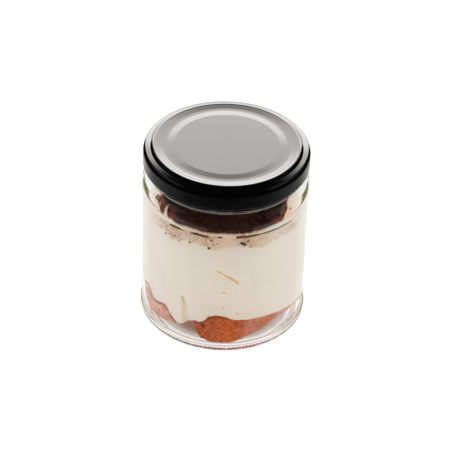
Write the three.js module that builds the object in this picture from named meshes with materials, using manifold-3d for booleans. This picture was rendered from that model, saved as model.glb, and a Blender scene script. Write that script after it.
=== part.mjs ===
// Tiramisu in a small round glass jar with a black twist-off lid.
// Millimetres, +Z up. The origin is the middle of the base, on the surface that the jar stands on.
// Azimuths are in degrees: 0 is the front (-Y) and they grow towards the right (+X).

import * as THREE from "three";
import { mergeVertices } from "three/addons/utils/BufferGeometryUtils.js";
import Module from "manifold-3d";

const wasm = await Module();
wasm.setup();

// ---- driving dimensions ----

const TURN_SEGMENTS = 50;         // facets round the jar and the lid
const FOOD_STEP = 5;              // degrees between sections of the food
const GAP = 0.3;                  // clearance between pieces that touch

// Jar, outside: a recessed panel between two slightly prouder bands.
const PANEL_RADIUS = 36.68;
const SHOULDER_RADIUS = 37.12;
const HEEL_RADIUS = 37.19;
const HEEL_ROUNDING = 2.26;
const HEEL_BAND_TOP = 3.9;
const SHOULDER_BAND_BOTTOM = 63.4;
const SHOULDER_BAND_TOP = 67.3;
const BAND_STEP = 1.0;            // height over which a band meets the panel
const SHOULDER_HEIGHT = 5.9;
const NECK_RADIUS = 33.4;
const BEAD_RADIUS = 34.4;
const BEAD_HEIGHT = 74.3;
const BEAD_HALF = 0.9;
const RIM_TOP = 86.0;
const RIM_ROUNDING = 1.2;

// Jar, underside: a flat ring to stand on round a shallow push-up.
const BEARING_INNER_RADIUS = 32.3;
const PUSH_UP_RADIUS = 31.4;
const PUSH_UP_EDGE = 1.3;
const PUSH_UP_TOP = 1.6;

// Jar, inside.
const WALL = 2.35;
const CAVITY_RADIUS = PANEL_RADIUS - WALL;
const FLOOR_EDGE = 3.1;
const FLOOR_DOME = 0.5;
const FLOOR_ROUNDING = 1.6;
const FLOOR_FLAT_RADIUS = CAVITY_RADIUS - FLOOR_ROUNDING;
const INNER_SHOULDER_BOTTOM = 66.0;
const INNER_SHOULDER_TOP = 72.5;
const BORE_RADIUS = 30.3;

// Thread: four short ramps on the neck, one for each lug of the lid.
const LUG_COUNT = 4;
const THREAD_RADIUS = 34.7;
const THREAD_SPAN = 62;
const THREAD_HIGH = 82.6;
const THREAD_LOW = 80.7;
const THREAD_HALF_HEIGHT = 0.75;
const THREAD_FIRST_AZIMUTH = 20;

// Lid: thin enamelled sheet with a flat middle panel, a shallow valley round it, a raised crest,
// a ledge outside the crest, a rounded shoulder and a rolled edge.
const LID_RADIUS = 36.75;
const LID_BOTTOM = 77.3;
const LID_TOP = 87.0;
const LID_PANEL_RADIUS = 23.1;
const LID_PANEL_HEIGHT = 86.9;
const LID_VALLEY_RADIUS = 26.5;
const LID_VALLEY_HEIGHT = 86.7;
const LID_CREST_RADIUS = 31.3;
const LID_CREST_WIDTH = 0.5;
const LID_LEDGE_INNER_RADIUS = 34.1;
const LID_LEDGE_OUTER_RADIUS = 35.3;
const LID_LEDGE_HEIGHT = 86.15;
const LID_LEDGE_FALL = 0.22;
const LID_SHOULDER_BOTTOM = 83.1;
const LID_WALL = 0.45;
const CURL_RADIUS = 0.85;
const LUG_INNER_RADIUS = 33.85;
const LUG_SPAN = 15;
const LUG_HEIGHT = 1.5;

// Food: heights above the surface that the jar stands on.
const CREAM_TOP = 64.9;
const COCOA_TOP = 67.8;
const COCOA_MOUND = 0.4;
const COCOA_RIM_RADIUS = 25;      // from here outwards the cocoa follows its line on the glass
const FOOD_MIN_THICKNESS = 0.6;

// Line on the glass where the cream meets the cocoa, and where the cocoa ends: [azimuth, height].
const CREAM_TOP_EDGE = [
  [-80, 66.2], [-60, 66.4], [-48, 65.7], [-42, 65.7], [-34, 64.6], [-27, 65.2], [-19, 64.8],
  [-11, 64.4], [1, 64.8], [14, 64.3], [22, 64.5], [30, 65.1], [38, 65.4], [46, 66.0], [70, 66.3],
  [110, 65.4], [150, 64.6], [190, 65.0], [230, 64.5], [258, 65.6],
];
const COCOA_TOP_EDGE = [
  [-80, 68.2], [-60, 68.4], [-50, 68.3], [-44, 68.1], [-33, 67.3], [-21, 66.5], [-11, 66.2],
  [1, 66.1], [14, 65.8], [24, 66.1], [32, 66.6], [38, 67.1], [44, 67.5], [52, 68.0], [66, 68.3],
  [110, 67.4], [150, 68.0], [190, 67.2], [230, 68.0], [258, 68.2],
];

// Between the ladyfingers the cream sits on the floor of the jar as far out as core, and from
// arch outwards it hangs at the height of its lower edge. Over a ladyfinger both lie further in.
const HOLLOW_SPAN = { core: 15, arch: 26 };
const COVERED_SPAN = { core: 4, arch: 12 };

// Lower edge of the cream along the glass: [azimuth, height], once round.
const CREAM_LOWER_EDGE = [
  [-78, 17.0], [-66, 19.0], [-58, 14.6], [-45, 16.0], [-40, 12.8], [-34, 9.8], [-29, 10.4],
  [-21, 13.8], [-15, 13.9], [-6, 18.2], [2, 18.0], [10, 16.1], [38, 14.7], [61, 13.0], [76, 11.8],
  [96, 12.6], [118, 17.6], [138, 16.0], [160, 17.8], [182, 13.4], [198, 10.2], [212, 10.8],
  [232, 16.4], [256, 14.2],
];

// Pieces of soaked ladyfinger that show under the cream. lowerEdge is their own lower edge along
// the glass, [azimuth, height], and footRadius is where they leave the floor of the jar.
const LADYFINGERS = [
  {
    name: "ladyfinger_front",
    from: -20,
    to: 80,
    footRadius: 24,
    lowerEdge: [
      [-20, 13.0], [-16.5, 7.2], [-13, 5.4], [-8, 4.1], [7, 4.1], [12, 5.0], [20, 6.9], [28, 8.5], [33, 10.3],
      [38, 11.6], [48, 12.3], [64, 12.0], [80, 9.4],
    ],
  },
  {
    name: "ladyfinger_left",
    from: -75,
    to: -35,
    footRadius: 27,
    lowerEdge: [[-75, 13.0], [-70, 10.0], [-64, 7.6], [-54, 7.2], [-44, 8.1], [-35, 9.4]],
  },
  {
    name: "ladyfinger_back",
    from: 110,
    to: 190,
    footRadius: 25,
    lowerEdge: [[110, 12.6], [120, 9.2], [132, 4.6], [150, 4.4], [160, 7.2], [176, 9.0], [190, 10.6]],
  },
];
const END_CLOSING = 14;           // degrees over which a ladyfinger tapers to its rounded end
const LADYFINGER_INNER_MARGIN = 1.5;

// ---- small helpers ----

const radians = THREE.MathUtils.degToRad;
const lerp = THREE.MathUtils.lerp;

function ease(value) {
  return THREE.MathUtils.smoothstep(value, 0, 1);
}

// A smooth curve through [position, height] keys, by cubic pieces with averaged slopes.
function curveThrough(keys, period = 0) {
  const last = keys.length - 1;
  const key = (i) => {
    if (!period) return keys[THREE.MathUtils.clamp(i, 0, last)];
    const turns = Math.floor(i / keys.length);
    const [position, height] = keys[i - turns * keys.length];
    return [position + turns * period, height];
  };
  const slope = (i) => {
    const [x0, y0] = key(i - 1);
    const [x1, y1] = key(i + 1);
    return (y1 - y0) / (x1 - x0);
  };
  return (position) => {
    const start = keys[0][0];
    let x = position;
    if (period) x = start + THREE.MathUtils.euclideanModulo(position - start, period);
    let i = 0;
    while (i < (period ? last : last - 1) && key(i + 1)[0] <= x) i += 1;
    const [x0, y0] = key(i);
    const [x1, y1] = key(i + 1);
    const width = x1 - x0;
    const s = THREE.MathUtils.clamp((x - x0) / width, 0, 1);
    const s2 = s * s;
    const s3 = s2 * s;
    return (2 * s3 - 3 * s2 + 1) * y0 + (s3 - 2 * s2 + s) * width * slope(i)
      + (3 * s2 - 2 * s3) * y1 + (s3 - s2) * width * slope(i + 1);
  };
}

// Points of an elliptic arc about (centreR, centreZ), from one angle to another in degrees.
function arc(centreR, centreZ, radiusR, radiusZ, from, to, steps) {
  return Array.from({ length: steps + 1 }, (_, i) => {
    const angle = radians(lerp(from, to, i / steps));
    return [centreR + radiusR * Math.cos(angle), centreZ + radiusZ * Math.sin(angle)];
  });
}

function bareMesh(geometry) {
  const bare = geometry.clone();
  bare.deleteAttribute("normal");
  bare.deleteAttribute("uv");
  return mergeVertices(bare, 1e-4);
}

// A closed geometry as a manifold-3d solid, without the flat triangles that lie on an axis.
function toSolid(geometry) {
  const merged = bareMesh(geometry);
  const index = merged.index.array;
  const triVerts = [];
  for (let i = 0; i < index.length; i += 3) {
    const [a, b, c] = [index[i], index[i + 1], index[i + 2]];
    if (a !== b && b !== c && c !== a) triVerts.push(a, b, c);
  }
  return new wasm.Manifold(new wasm.Mesh({
    numProp: 3,
    vertProperties: new Float32Array(merged.attributes.position.array),
    triVerts: new Uint32Array(triVerts),
  }));
}

function toGeometry(solid) {
  const { numProp, vertProperties, triVerts } = solid.getMesh();
  const position = new Float32Array((vertProperties.length / numProp) * 3);
  for (let i = 0; i < position.length / 3; i += 1) {
    position.set(vertProperties.subarray(i * numProp, i * numProp + 3), i * 3);
  }
  const geometry = new THREE.BufferGeometry();
  geometry.setAttribute("position", new THREE.BufferAttribute(position, 3));
  geometry.setIndex(new THREE.BufferAttribute(new Uint32Array(triVerts), 1));
  geometry.computeVertexNormals();
  return geometry;
}

// A solid turned about Z from a profile of [radius, height] points. The profile runs
// anticlockwise in the (radius, height) plane, and starts and ends on the axis.
function turned(profile) {
  const points = profile.map(([radius, height]) => new THREE.Vector2(radius, height));
  const geometry = new THREE.LatheGeometry(points, TURN_SEGMENTS);
  geometry.rotateX(Math.PI / 2);
  return toSolid(geometry);
}

// A solid swept round Z through sections that change with the azimuth. section(azimuth) gives
// [radius, height] points, anticlockwise, always the same number. A full turn joins up with
// itself, and its sections start and end on the axis; a part turn is closed by flat ends.
function swept(section, azimuths, fullTurn) {
  const rows = azimuths.map(section);
  const count = rows[0].length;
  const position = [];
  rows.forEach((row, i) => {
    const angle = radians(azimuths[i]);
    row.forEach(([r, z]) => position.push(r * Math.sin(angle), -r * Math.cos(angle), z));
  });
  const index = [];
  const spans = fullTurn ? rows.length : rows.length - 1;
  const sides = fullTurn ? count - 1 : count;
  for (let i = 0; i < spans; i += 1) {
    const next = (i + 1) % rows.length;
    for (let k = 0; k < sides; k += 1) {
      const [a, b] = [i * count + k, i * count + ((k + 1) % count)];
      const [c, d] = [next * count + k, next * count + ((k + 1) % count)];
      index.push(a, c, b, b, c, d);
    }
  }
  if (!fullTurn) {
    const cap = (i) => THREE.ShapeUtils.triangulateShape(rows[i].map(([r, z]) => new THREE.Vector2(r, z)), []);
    cap(0).forEach(([a, b, c]) => index.push(a, b, c));
    const end = (rows.length - 1) * count;
    cap(rows.length - 1).forEach(([a, b, c]) => index.push(end + a, end + c, end + b));
  }
  const geometry = new THREE.BufferGeometry();
  geometry.setAttribute("position", new THREE.Float32BufferAttribute(position, 3));
  geometry.setIndex(index);
  return toSolid(geometry);
}

function steps(from, to, step) {
  const count = Math.round((to - from) / step);
  return Array.from({ length: count + 1 }, (_, i) => lerp(from, to, i / count));
}

// ---- inside of the jar ----

// Height of the floor of the jar, which is domed and rounds up into the wall.
function floorHeight(radius) {
  if (radius <= FLOOR_FLAT_RADIUS) {
    return FLOOR_EDGE + FLOOR_DOME * (1 - (radius / FLOOR_FLAT_RADIUS) ** 2);
  }
  const out = Math.min(radius - FLOOR_FLAT_RADIUS, FLOOR_ROUNDING);
  return FLOOR_EDGE + FLOOR_ROUNDING - Math.sqrt(FLOOR_ROUNDING ** 2 - out ** 2);
}

// Radius of the inside of the jar at a height.
function cavityRadius(height) {
  const below = FLOOR_EDGE + FLOOR_ROUNDING - height;
  if (below > 0) {
    return FLOOR_FLAT_RADIUS + Math.sqrt(Math.max(FLOOR_ROUNDING ** 2 - below ** 2, 0));
  }
  const up = (height - INNER_SHOULDER_BOTTOM) / (INNER_SHOULDER_TOP - INNER_SHOULDER_BOTTOM);
  if (up <= 0) return CAVITY_RADIUS;
  const kept = Math.sqrt(Math.max(1 - up ** 2, 0));
  return lerp(BORE_RADIUS, CAVITY_RADIUS, kept);
}

// ---- glass jar ----

function jarOutside() {
  const heel = arc(HEEL_RADIUS - HEEL_ROUNDING, HEEL_ROUNDING, HEEL_ROUNDING, HEEL_ROUNDING, -90, 0, 4);
  const shoulder = arc(NECK_RADIUS, SHOULDER_BAND_TOP, SHOULDER_RADIUS - NECK_RADIUS, SHOULDER_HEIGHT, 0, 84, 6);
  const bead = arc(NECK_RADIUS, BEAD_HEIGHT, BEAD_RADIUS - NECK_RADIUS, BEAD_HALF, -50, 80, 4);
  const rim = arc(NECK_RADIUS - 0.4 - RIM_ROUNDING, RIM_TOP - RIM_ROUNDING, RIM_ROUNDING, RIM_ROUNDING, 0, 90, 3);
  return [
    [0, PUSH_UP_TOP],
    [PUSH_UP_RADIUS * 0.6, lerp(PUSH_UP_EDGE, PUSH_UP_TOP, 0.72)],
    [PUSH_UP_RADIUS, PUSH_UP_EDGE],
    [BEARING_INNER_RADIUS, 0],
    ...heel,
    [HEEL_RADIUS, HEEL_BAND_TOP],
    [PANEL_RADIUS, HEEL_BAND_TOP + BAND_STEP],
    [PANEL_RADIUS, SHOULDER_BAND_BOTTOM - BAND_STEP],
    [SHOULDER_RADIUS, SHOULDER_BAND_BOTTOM],
    ...shoulder,
    ...bead,
    [NECK_RADIUS, BEAD_HEIGHT + BEAD_HALF + 0.6],
    [NECK_RADIUS, RIM_TOP - 2 * RIM_ROUNDING],
    ...rim,
  ];
}

function jarInside() {
  const lip = arc(BORE_RADIUS + RIM_ROUNDING, RIM_TOP - RIM_ROUNDING, RIM_ROUNDING, RIM_ROUNDING, 120, 180, 2);
  const shoulder = arc(
    BORE_RADIUS, INNER_SHOULDER_BOTTOM,
    CAVITY_RADIUS - BORE_RADIUS, INNER_SHOULDER_TOP - INNER_SHOULDER_BOTTOM, 90, 0, 5,
  );
  const corner = arc(
    FLOOR_FLAT_RADIUS, FLOOR_EDGE + FLOOR_ROUNDING, FLOOR_ROUNDING, FLOOR_ROUNDING, 0, -90, 5,
  );
  const middle = FLOOR_FLAT_RADIUS * 0.55;
  return [...lip, ...shoulder, ...corner, [middle, floorHeight(middle)], [0, FLOOR_EDGE + FLOOR_DOME]];
}

// One ramp of the thread, thinning to nothing at both ends.
function threadRamp(first) {
  const root = NECK_RADIUS - 0.6;
  const section = (azimuth) => {
    const along = (azimuth - first) / THREAD_SPAN;
    const height = lerp(THREAD_HIGH, THREAD_LOW, along);
    const proud = (THREAD_RADIUS - NECK_RADIUS) * Math.min(1, 5 * Math.min(along, 1 - along) + 0.1);
    return [
      [root, height - THREAD_HALF_HEIGHT],
      [NECK_RADIUS + proud, height - THREAD_HALF_HEIGHT * 0.4],
      [NECK_RADIUS + proud, height + THREAD_HALF_HEIGHT * 0.4],
      [root, height + THREAD_HALF_HEIGHT],
    ];
  };
  return swept(section, steps(first, first + THREAD_SPAN, THREAD_SPAN / 9), false);
}

function glassJar() {
  let jar = turned([...jarOutside(), ...jarInside()]);
  for (let i = 0; i < LUG_COUNT; i += 1) {
    jar = jar.add(threadRamp(THREAD_FIRST_AZIMUTH + (i * 360) / LUG_COUNT));
  }
  return jar;
}

// ---- lid ----

// The sheet from the middle of the lid out over the crest and down the skirt, grown inwards by
// depth: 0 gives its outer face and LID_WALL its inner face.
function lidSheet(depth) {
  const crestEnd = LID_CREST_RADIUS + LID_CREST_WIDTH;
  const ledgeEnd = LID_LEDGE_OUTER_RADIUS - depth * 0.6;
  const ledgeEndHeight = LID_LEDGE_HEIGHT - LID_LEDGE_FALL - depth;
  const fall = (part) => [
    lerp(crestEnd, LID_LEDGE_INNER_RADIUS, part) - depth * 0.4,
    lerp(LID_TOP, LID_LEDGE_HEIGHT, ease(part)) - depth,
  ];
  return [
    [0, LID_PANEL_HEIGHT - depth],
    [LID_PANEL_RADIUS, LID_PANEL_HEIGHT - depth],
    [LID_VALLEY_RADIUS, LID_VALLEY_HEIGHT - depth],
    [LID_CREST_RADIUS, LID_TOP - depth],
    ...[0, 0.5, 1].map(fall),
    ...arc(
      ledgeEnd, LID_SHOULDER_BOTTOM, LID_RADIUS - depth - ledgeEnd, ledgeEndHeight - LID_SHOULDER_BOTTOM, 90, 0, 4,
    ),
  ];
}

function lidShell() {
  const curlCentre = LID_RADIUS - CURL_RADIUS;
  const curl = arc(curlCentre, LID_BOTTOM + CURL_RADIUS, CURL_RADIUS, CURL_RADIUS, 0, -180, 6);
  const innerSkirtBottom = [LID_RADIUS - LID_WALL, LID_BOTTOM + 2 * CURL_RADIUS + 0.4];
  return turned([...lidSheet(0), ...curl, innerSkirtBottom, ...lidSheet(LID_WALL).reverse()].reverse());
}

// A tab of the rolled edge, bent in under one ramp of the thread.
function lug(azimuth) {
  const root = LID_RADIUS - CURL_RADIUS;
  const bottom = LID_BOTTOM + 0.25;
  const section = () => [
    [LUG_INNER_RADIUS, bottom + 0.5],
    [root, bottom],
    [root, bottom + LUG_HEIGHT - 0.2],
    [LUG_INNER_RADIUS, bottom + LUG_HEIGHT],
  ];
  return swept(section, steps(azimuth - LUG_SPAN / 2, azimuth + LUG_SPAN / 2, LUG_SPAN / 3), false);
}

function lid() {
  let shell = lidShell();
  for (let i = 0; i < LUG_COUNT; i += 1) {
    shell = shell.add(lug(THREAD_FIRST_AZIMUTH + THREAD_SPAN * 0.85 + (i * 360) / LUG_COUNT));
  }
  return shell;
}

// ---- food ----

const creamLowerEdge = curveThrough(CREAM_LOWER_EDGE, 360);
const creamTopEdge = curveThrough(CREAM_TOP_EDGE, 360);
const cocoaTopEdge = curveThrough(COCOA_TOP_EDGE, 360);

function creamTop(azimuth, radius) {
  return lerp(CREAM_TOP, creamTopEdge(azimuth), (radius / CAVITY_RADIUS) ** 3);
}

// 1 well inside a ladyfinger's stretch of the glass, 0 outside it.
function coverage(azimuth) {
  const inside = LADYFINGERS.map(({ from, to }) => {
    const along = THREE.MathUtils.euclideanModulo(azimuth - from, 360);
    return ease(Math.min(along, to - from - along) / END_CLOSING);
  });
  return Math.max(...inside);
}

function creamSpan(azimuth) {
  const covered = coverage(azimuth);
  return {
    core: lerp(HOLLOW_SPAN.core, COVERED_SPAN.core, covered),
    arch: lerp(HOLLOW_SPAN.arch, COVERED_SPAN.arch, covered),
  };
}

// The cream stands on the floor in the middle and arches up over the ladyfingers and the hollows.
function creamUnderside(azimuth, radius) {
  const { core, arch } = creamSpan(azimuth);
  const rise = ease((radius - core) / (arch - core));
  return lerp(floorHeight(radius) + GAP, creamLowerEdge(azimuth), rise);
}

// lowered drops the underside, which makes the shape that the cream takes out of a ladyfinger.
function creamSection(azimuth, lowered = 0) {
  const { core, arch } = creamSpan(azimuth);
  const wall = CAVITY_RADIUS - GAP + lowered;
  const spans = [0.3, 0.6, 1].map((part) => lerp(core, arch, part));
  const under = [0, core, ...spans, lerp(arch, wall, 0.5), wall];
  const top = [wall, 24, 12, 0];
  return [
    ...under.map((r) => [r, creamUnderside(azimuth, r) - lowered]),
    [wall, 32],
    [wall, 48],
    ...top.map((r) => [r, creamTop(azimuth, r)]),
  ];
}

// The cocoa lies in soft mounds and runs out to its line on the glass.
function cocoaTop(azimuth, radius) {
  const a = radians(azimuth);
  const out = radius / CAVITY_RADIUS;
  const mounds = Math.sin(4 * a + 1.3) * out + 0.7 * Math.cos(9 * out + 2 * a) * out;
  const rim = ease((radius - COCOA_RIM_RADIUS) / (CAVITY_RADIUS - COCOA_RIM_RADIUS));
  return lerp(COCOA_TOP + COCOA_MOUND * mounds, cocoaTopEdge(azimuth), rim);
}

function cocoaSection(azimuth) {
  const edge = (height) => cavityRadius(height) - GAP;
  const low = creamTop(azimuth, CAVITY_RADIUS - GAP) + GAP;
  const high = cocoaTop(azimuth, CAVITY_RADIUS);
  const middle = lerp(low, high, 0.5);
  return [
    ...[0, 12, 24].map((r) => [r, creamTop(azimuth, r) + GAP]),
    [edge(low), low],
    [edge(middle), middle],
    [edge(high) - 0.2, high],
    ...[28, 21, 14, 7, 0].map((r) => [r, cocoaTop(azimuth, r)]),
  ];
}

// A soaked piece fills the space under the arch of the cream. Its underside lifts off the floor
// towards the glass, and the whole piece closes to a rounded end at each side.
function ladyfingerSection({ from, to, footRadius, lowerEdge }) {
  const edge = curveThrough(lowerEdge);
  const wall = (height) => cavityRadius(height) - GAP;
  return (azimuth) => {
    const closing = 1 - ease(Math.min(azimuth - from, to - azimuth) / END_CLOSING);
    const high = creamUnderside(azimuth, CAVITY_RADIUS);
    const low = Math.min(edge(azimuth), high - GAP - FOOD_MIN_THICKNESS);
    const inner = creamSpan(azimuth).core + LADYFINGER_INNER_MARGIN;
    const bottom = (r) => {
      const lift = ease((r - footRadius) / (wall(low) - footRadius));
      const floor = floorHeight(r) + GAP;
      const roof = creamUnderside(azimuth, r) - GAP - FOOD_MIN_THICKNESS;
      return Math.max(lerp(lerp(floor, low, lift), roof, closing), floor);
    };
    const top = (r) => Math.max(creamUnderside(azimuth, r), bottom(r)) + FOOD_MIN_THICKNESS;
    const inwards = [0, 0.25, 0.5, 0.7, 0.85];
    return [
      ...inwards.map((part) => lerp(inner, wall(low), part)).map((r) => [r, bottom(r)]),
      ...[0, 0.12, 0.3, 0.6, 1].map((part) => lerp(low, high, part)).map((z) => [wall(z), z]),
      ...inwards.map((part) => lerp(inner, wall(high), part)).reverse().map((r) => [r, top(r)]),
    ];
  };
}

function ladyfinger(piece, creamCutter) {
  const raw = swept(ladyfingerSection(piece), steps(piece.from, piece.to, FOOD_STEP), false);
  const parts = raw.subtract(creamCutter).decompose();
  return parts.reduce((largest, part) => (part.volume() > largest.volume() ? part : largest));
}

// ---- scene graph ----

const GLASS = new THREE.MeshStandardMaterial({
  name: "clear_glass", color: 0xeef3ef, roughness: 0.04, metalness: 0, transparent: true, opacity: 0.3,
});
const ENAMEL = new THREE.MeshStandardMaterial({ name: "lid_enamel", color: 0x0b0b0c, roughness: 0.12, metalness: 0.2 });
const CREAM = new THREE.MeshStandardMaterial({ name: "cream", color: 0xe2d8c6, roughness: 0.55, metalness: 0 });
const COCOA = new THREE.MeshStandardMaterial({ name: "cocoa", color: 0x2c150b, roughness: 0.95, metalness: 0 });
const BISCUIT = new THREE.MeshStandardMaterial({ name: "ladyfinger", color: 0xa85231, roughness: 0.8, metalness: 0 });

function addPiece(group, name, solid, material) {
  const mesh = new THREE.Mesh(toGeometry(solid), material.clone());
  mesh.name = name;
  group.add(mesh);
}

const fullTurn = steps(0, 360, FOOD_STEP).slice(0, -1);
const tiramisu = new THREE.Group();
addPiece(tiramisu, "glass_jar", glassJar(), GLASS);
addPiece(tiramisu, "lid", lid(), ENAMEL);
addPiece(tiramisu, "cream", swept((azimuth) => creamSection(azimuth), fullTurn, true), CREAM);
addPiece(tiramisu, "cocoa", swept(cocoaSection, fullTurn, true), COCOA);
const creamCutter = swept((azimuth) => creamSection(azimuth, GAP), fullTurn, true);
for (const piece of LADYFINGERS) {
  addPiece(tiramisu, piece.name, ladyfinger(piece, creamCutter), BISCUIT);
}

export default tiramisu;
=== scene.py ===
"""Looks of the tiramisu in its shut glass jar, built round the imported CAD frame.

Shapes are worked out in millimetres and turned into metres when a mesh is made. Azimuths are in
degrees: 0 is the front (-Y), growing towards the right (+X).
"""

import math
import random

import bmesh
import bpy
import numpy as np
from mathutils import Matrix, Vector, noise


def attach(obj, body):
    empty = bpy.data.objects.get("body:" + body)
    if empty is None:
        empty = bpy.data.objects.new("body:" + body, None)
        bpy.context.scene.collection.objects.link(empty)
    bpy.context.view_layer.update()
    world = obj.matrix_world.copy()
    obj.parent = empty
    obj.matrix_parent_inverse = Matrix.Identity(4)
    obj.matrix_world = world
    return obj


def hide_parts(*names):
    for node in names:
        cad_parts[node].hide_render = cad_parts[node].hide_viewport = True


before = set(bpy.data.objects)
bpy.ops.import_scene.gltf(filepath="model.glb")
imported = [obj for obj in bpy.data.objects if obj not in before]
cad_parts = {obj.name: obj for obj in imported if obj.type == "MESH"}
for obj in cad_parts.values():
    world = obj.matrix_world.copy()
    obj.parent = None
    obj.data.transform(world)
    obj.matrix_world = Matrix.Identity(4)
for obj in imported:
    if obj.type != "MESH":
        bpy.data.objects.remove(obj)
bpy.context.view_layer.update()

MM = 0.001
BODY = "root"

# ---- driving dimensions, the same as the CAD model's ----

PANEL_RADIUS = 36.68
SHOULDER_RADIUS = 37.12
HEEL_RADIUS = 37.19
HEEL_ROUNDING = 2.26
HEEL_BAND_TOP = 3.9
SHOULDER_BAND_BOTTOM = 63.4
SHOULDER_BAND_TOP = 67.3
BAND_STEP = 1.0
SHOULDER_HEIGHT = 5.9
NECK_RADIUS = 33.4
BEAD_RADIUS = 34.4
BEAD_HEIGHT = 74.3
BEAD_HALF = 0.9
RIM_TOP = 86.0
RIM_ROUNDING = 1.2
BEARING_INNER_RADIUS = 32.3
PUSH_UP_RADIUS = 31.4
PUSH_UP_EDGE = 1.3
PUSH_UP_TOP = 1.6
WALL = 2.35
CAVITY_RADIUS = PANEL_RADIUS - WALL
FLOOR_EDGE = 3.1
FLOOR_DOME = 0.5
FLOOR_ROUNDING = 1.6
FLOOR_FLAT_RADIUS = CAVITY_RADIUS - FLOOR_ROUNDING
INNER_SHOULDER_BOTTOM = 66.0
INNER_SHOULDER_TOP = 72.5
BORE_RADIUS = 30.3

LUG_COUNT = 4
THREAD_RADIUS = 34.7
THREAD_SPAN = 62
THREAD_HIGH = 82.6
THREAD_LOW = 80.7
THREAD_HALF_HEIGHT = 0.75
THREAD_FIRST_AZIMUTH = 20

LID_RADIUS = 36.75
LID_BOTTOM = 77.3
LID_TOP = 87.0
LID_PANEL_RADIUS = 23.1
LID_PANEL_HEIGHT = 86.9
LID_VALLEY_RADIUS = 26.5
LID_VALLEY_HEIGHT = 86.7
LID_CREST_RADIUS = 31.3
LID_CREST_WIDTH = 0.5
LID_LEDGE_INNER_RADIUS = 34.1
LID_LEDGE_OUTER_RADIUS = 35.3
LID_LEDGE_HEIGHT = 86.15
LID_LEDGE_FALL = 0.22
LID_SHOULDER_BOTTOM = 83.1
LID_WALL = 0.45
CURL_RADIUS = 0.85
LUG_INNER_RADIUS = 33.85
LUG_SPAN = 15
LUG_HEIGHT = 1.5

CREAM_TOP = 64.9
COCOA_TOP = 67.8
COCOA_MOUND = 0.4
COCOA_RIM_RADIUS = 25
HOLLOW_SPAN = (15, 26)
COVERED_SPAN = (4, 12)
END_CLOSING = 14

CREAM_TOP_EDGE = [
    (-80, 66.2), (-60, 66.4), (-48, 65.7), (-42, 65.7), (-34, 64.6), (-27, 65.2), (-19, 64.8),
    (-11, 64.4), (1, 64.8), (14, 64.3), (22, 64.5), (30, 65.1), (38, 65.4), (46, 66.0), (70, 66.3),
    (110, 65.4), (150, 64.6), (190, 65.0), (230, 64.5), (258, 65.6),
]
COCOA_TOP_EDGE = [
    (-80, 68.2), (-60, 68.4), (-50, 68.3), (-44, 68.1), (-33, 67.3), (-21, 66.5), (-11, 66.2),
    (1, 66.1), (14, 65.8), (24, 66.1), (32, 66.6), (38, 67.1), (44, 67.5), (52, 68.0), (66, 68.3),
    (110, 67.4), (150, 68.0), (190, 67.2), (230, 68.0), (258, 68.2),
]
CREAM_LOWER_EDGE = [
    (-78, 17.0), (-66, 19.0), (-58, 14.6), (-45, 16.0), (-40, 12.8), (-34, 9.8), (-29, 10.4),
    (-21, 13.8), (-15, 13.9), (-6, 18.2), (2, 18.0), (10, 16.1), (38, 14.7), (61, 13.0), (76, 11.8),
    (96, 12.6), (118, 17.6), (138, 16.0), (160, 17.8), (182, 13.4), (198, 10.2), (212, 10.8),
    (232, 16.4), (256, 14.2),
]

LADYFINGERS = [
    {
        "name": "ladyfinger_front", "foot": 24,
        "edge": [
            (-20, 13.0), (-16.5, 7.2), (-13, 5.4), (-8, 4.1), (7, 4.1), (12, 5.0), (20, 6.9), (28, 8.5),
            (33, 10.3), (38, 11.6), (48, 12.3), (64, 12.0), (80, 9.4),
        ],
    },
    {
        "name": "ladyfinger_left", "foot": 27,
        "edge": [(-75, 13.0), (-70, 10.0), (-64, 7.6), (-54, 7.2), (-44, 8.1), (-35, 9.4)],
    },
    {
        "name": "ladyfinger_back", "foot": 25,
        "edge": [(110, 12.6), (120, 9.2), (132, 4.6), (150, 4.4), (160, 7.2), (176, 9.0), (190, 10.6)],
    },
]

# ---- sizes of what only the looks need ----

PER_DEGREE = math.radians(1) * CAVITY_RADIUS  # length of a degree round the inside of the wall
INTO_GLASS = 0.15          # how far food that touches the glass reaches into the wall
INTO_CREAM = 0.8           # how far a ladyfinger reaches up into the cream over it
LAYER_OVERLAP = 0.6        # how far other layers reach into each other
NEAR_BEND = 0.3            # how close to a bend in the glass a straight run starts
BEFORE_BEND = 0.4          # and how far short of the next bend it stops
RIB_COUNT = 150            # radial ribs on the ring that the jar stands on
RIB_SAMPLES = 3            # sections for each rib
RIB_DEPTH = 0.35
RIB_INNER_RADIUS = 27.0    # shallow ribs start here, on the rim of the hollow
RIB_SHALLOW = 0.25
RIB_FADE = 1.5             # ribs and knurls reach their full depth over this distance
KNURL_COUNT = 150          # radial knurls pressed into the heel
KNURL_DEPTH = 0.22
KNURL_TOP = (2.0, 3.6)     # they fade out between these heights
LIP_RADIUS = 1.3           # rounding of the cream's lower edge, away from the glass
LIP_HEIGHT = LIP_RADIUS * 0.8
TABLE_HALF = 6.0           # half the width of the table, in metres
TABLE_GREY = (0.12, 0.12, 0.12)
SHADE_RADII = (19, 24, 29.4, 30.6)  # the table under the jar is brown, dusky, grey and bright out here
DISC_RADIUS = 37           # size of the disc of table under the jar
DISC_FADE = 0.2
CONTACT_RADII = (33.2, 35.4)  # the heel keeps the light off the table between these
CONTACT_FADE = 0.4
CORNER_SOFTNESS = 0.22     # half width of the rounding at the lid's pressed corners
PANEL_ROUNDING = 1.2       # the lid's middle panel starts to bend this far inside its edge
VALLEY_FLAT = 1.7          # width of the flat bottom of the lid's valley
CREST_ROUNDING = 0.06


# ---- curves and surfaces ----

def smooth(x):
    """0 up to 0, 1 from 1 on, and an S-shaped rise between."""
    t = np.clip(x, 0.0, 1.0)
    return t * t * (3 - 2 * t)


def mix(a, b, t):
    """From a, where t is 0, to b, where it is 1."""
    return a + (b - a) * t


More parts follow.
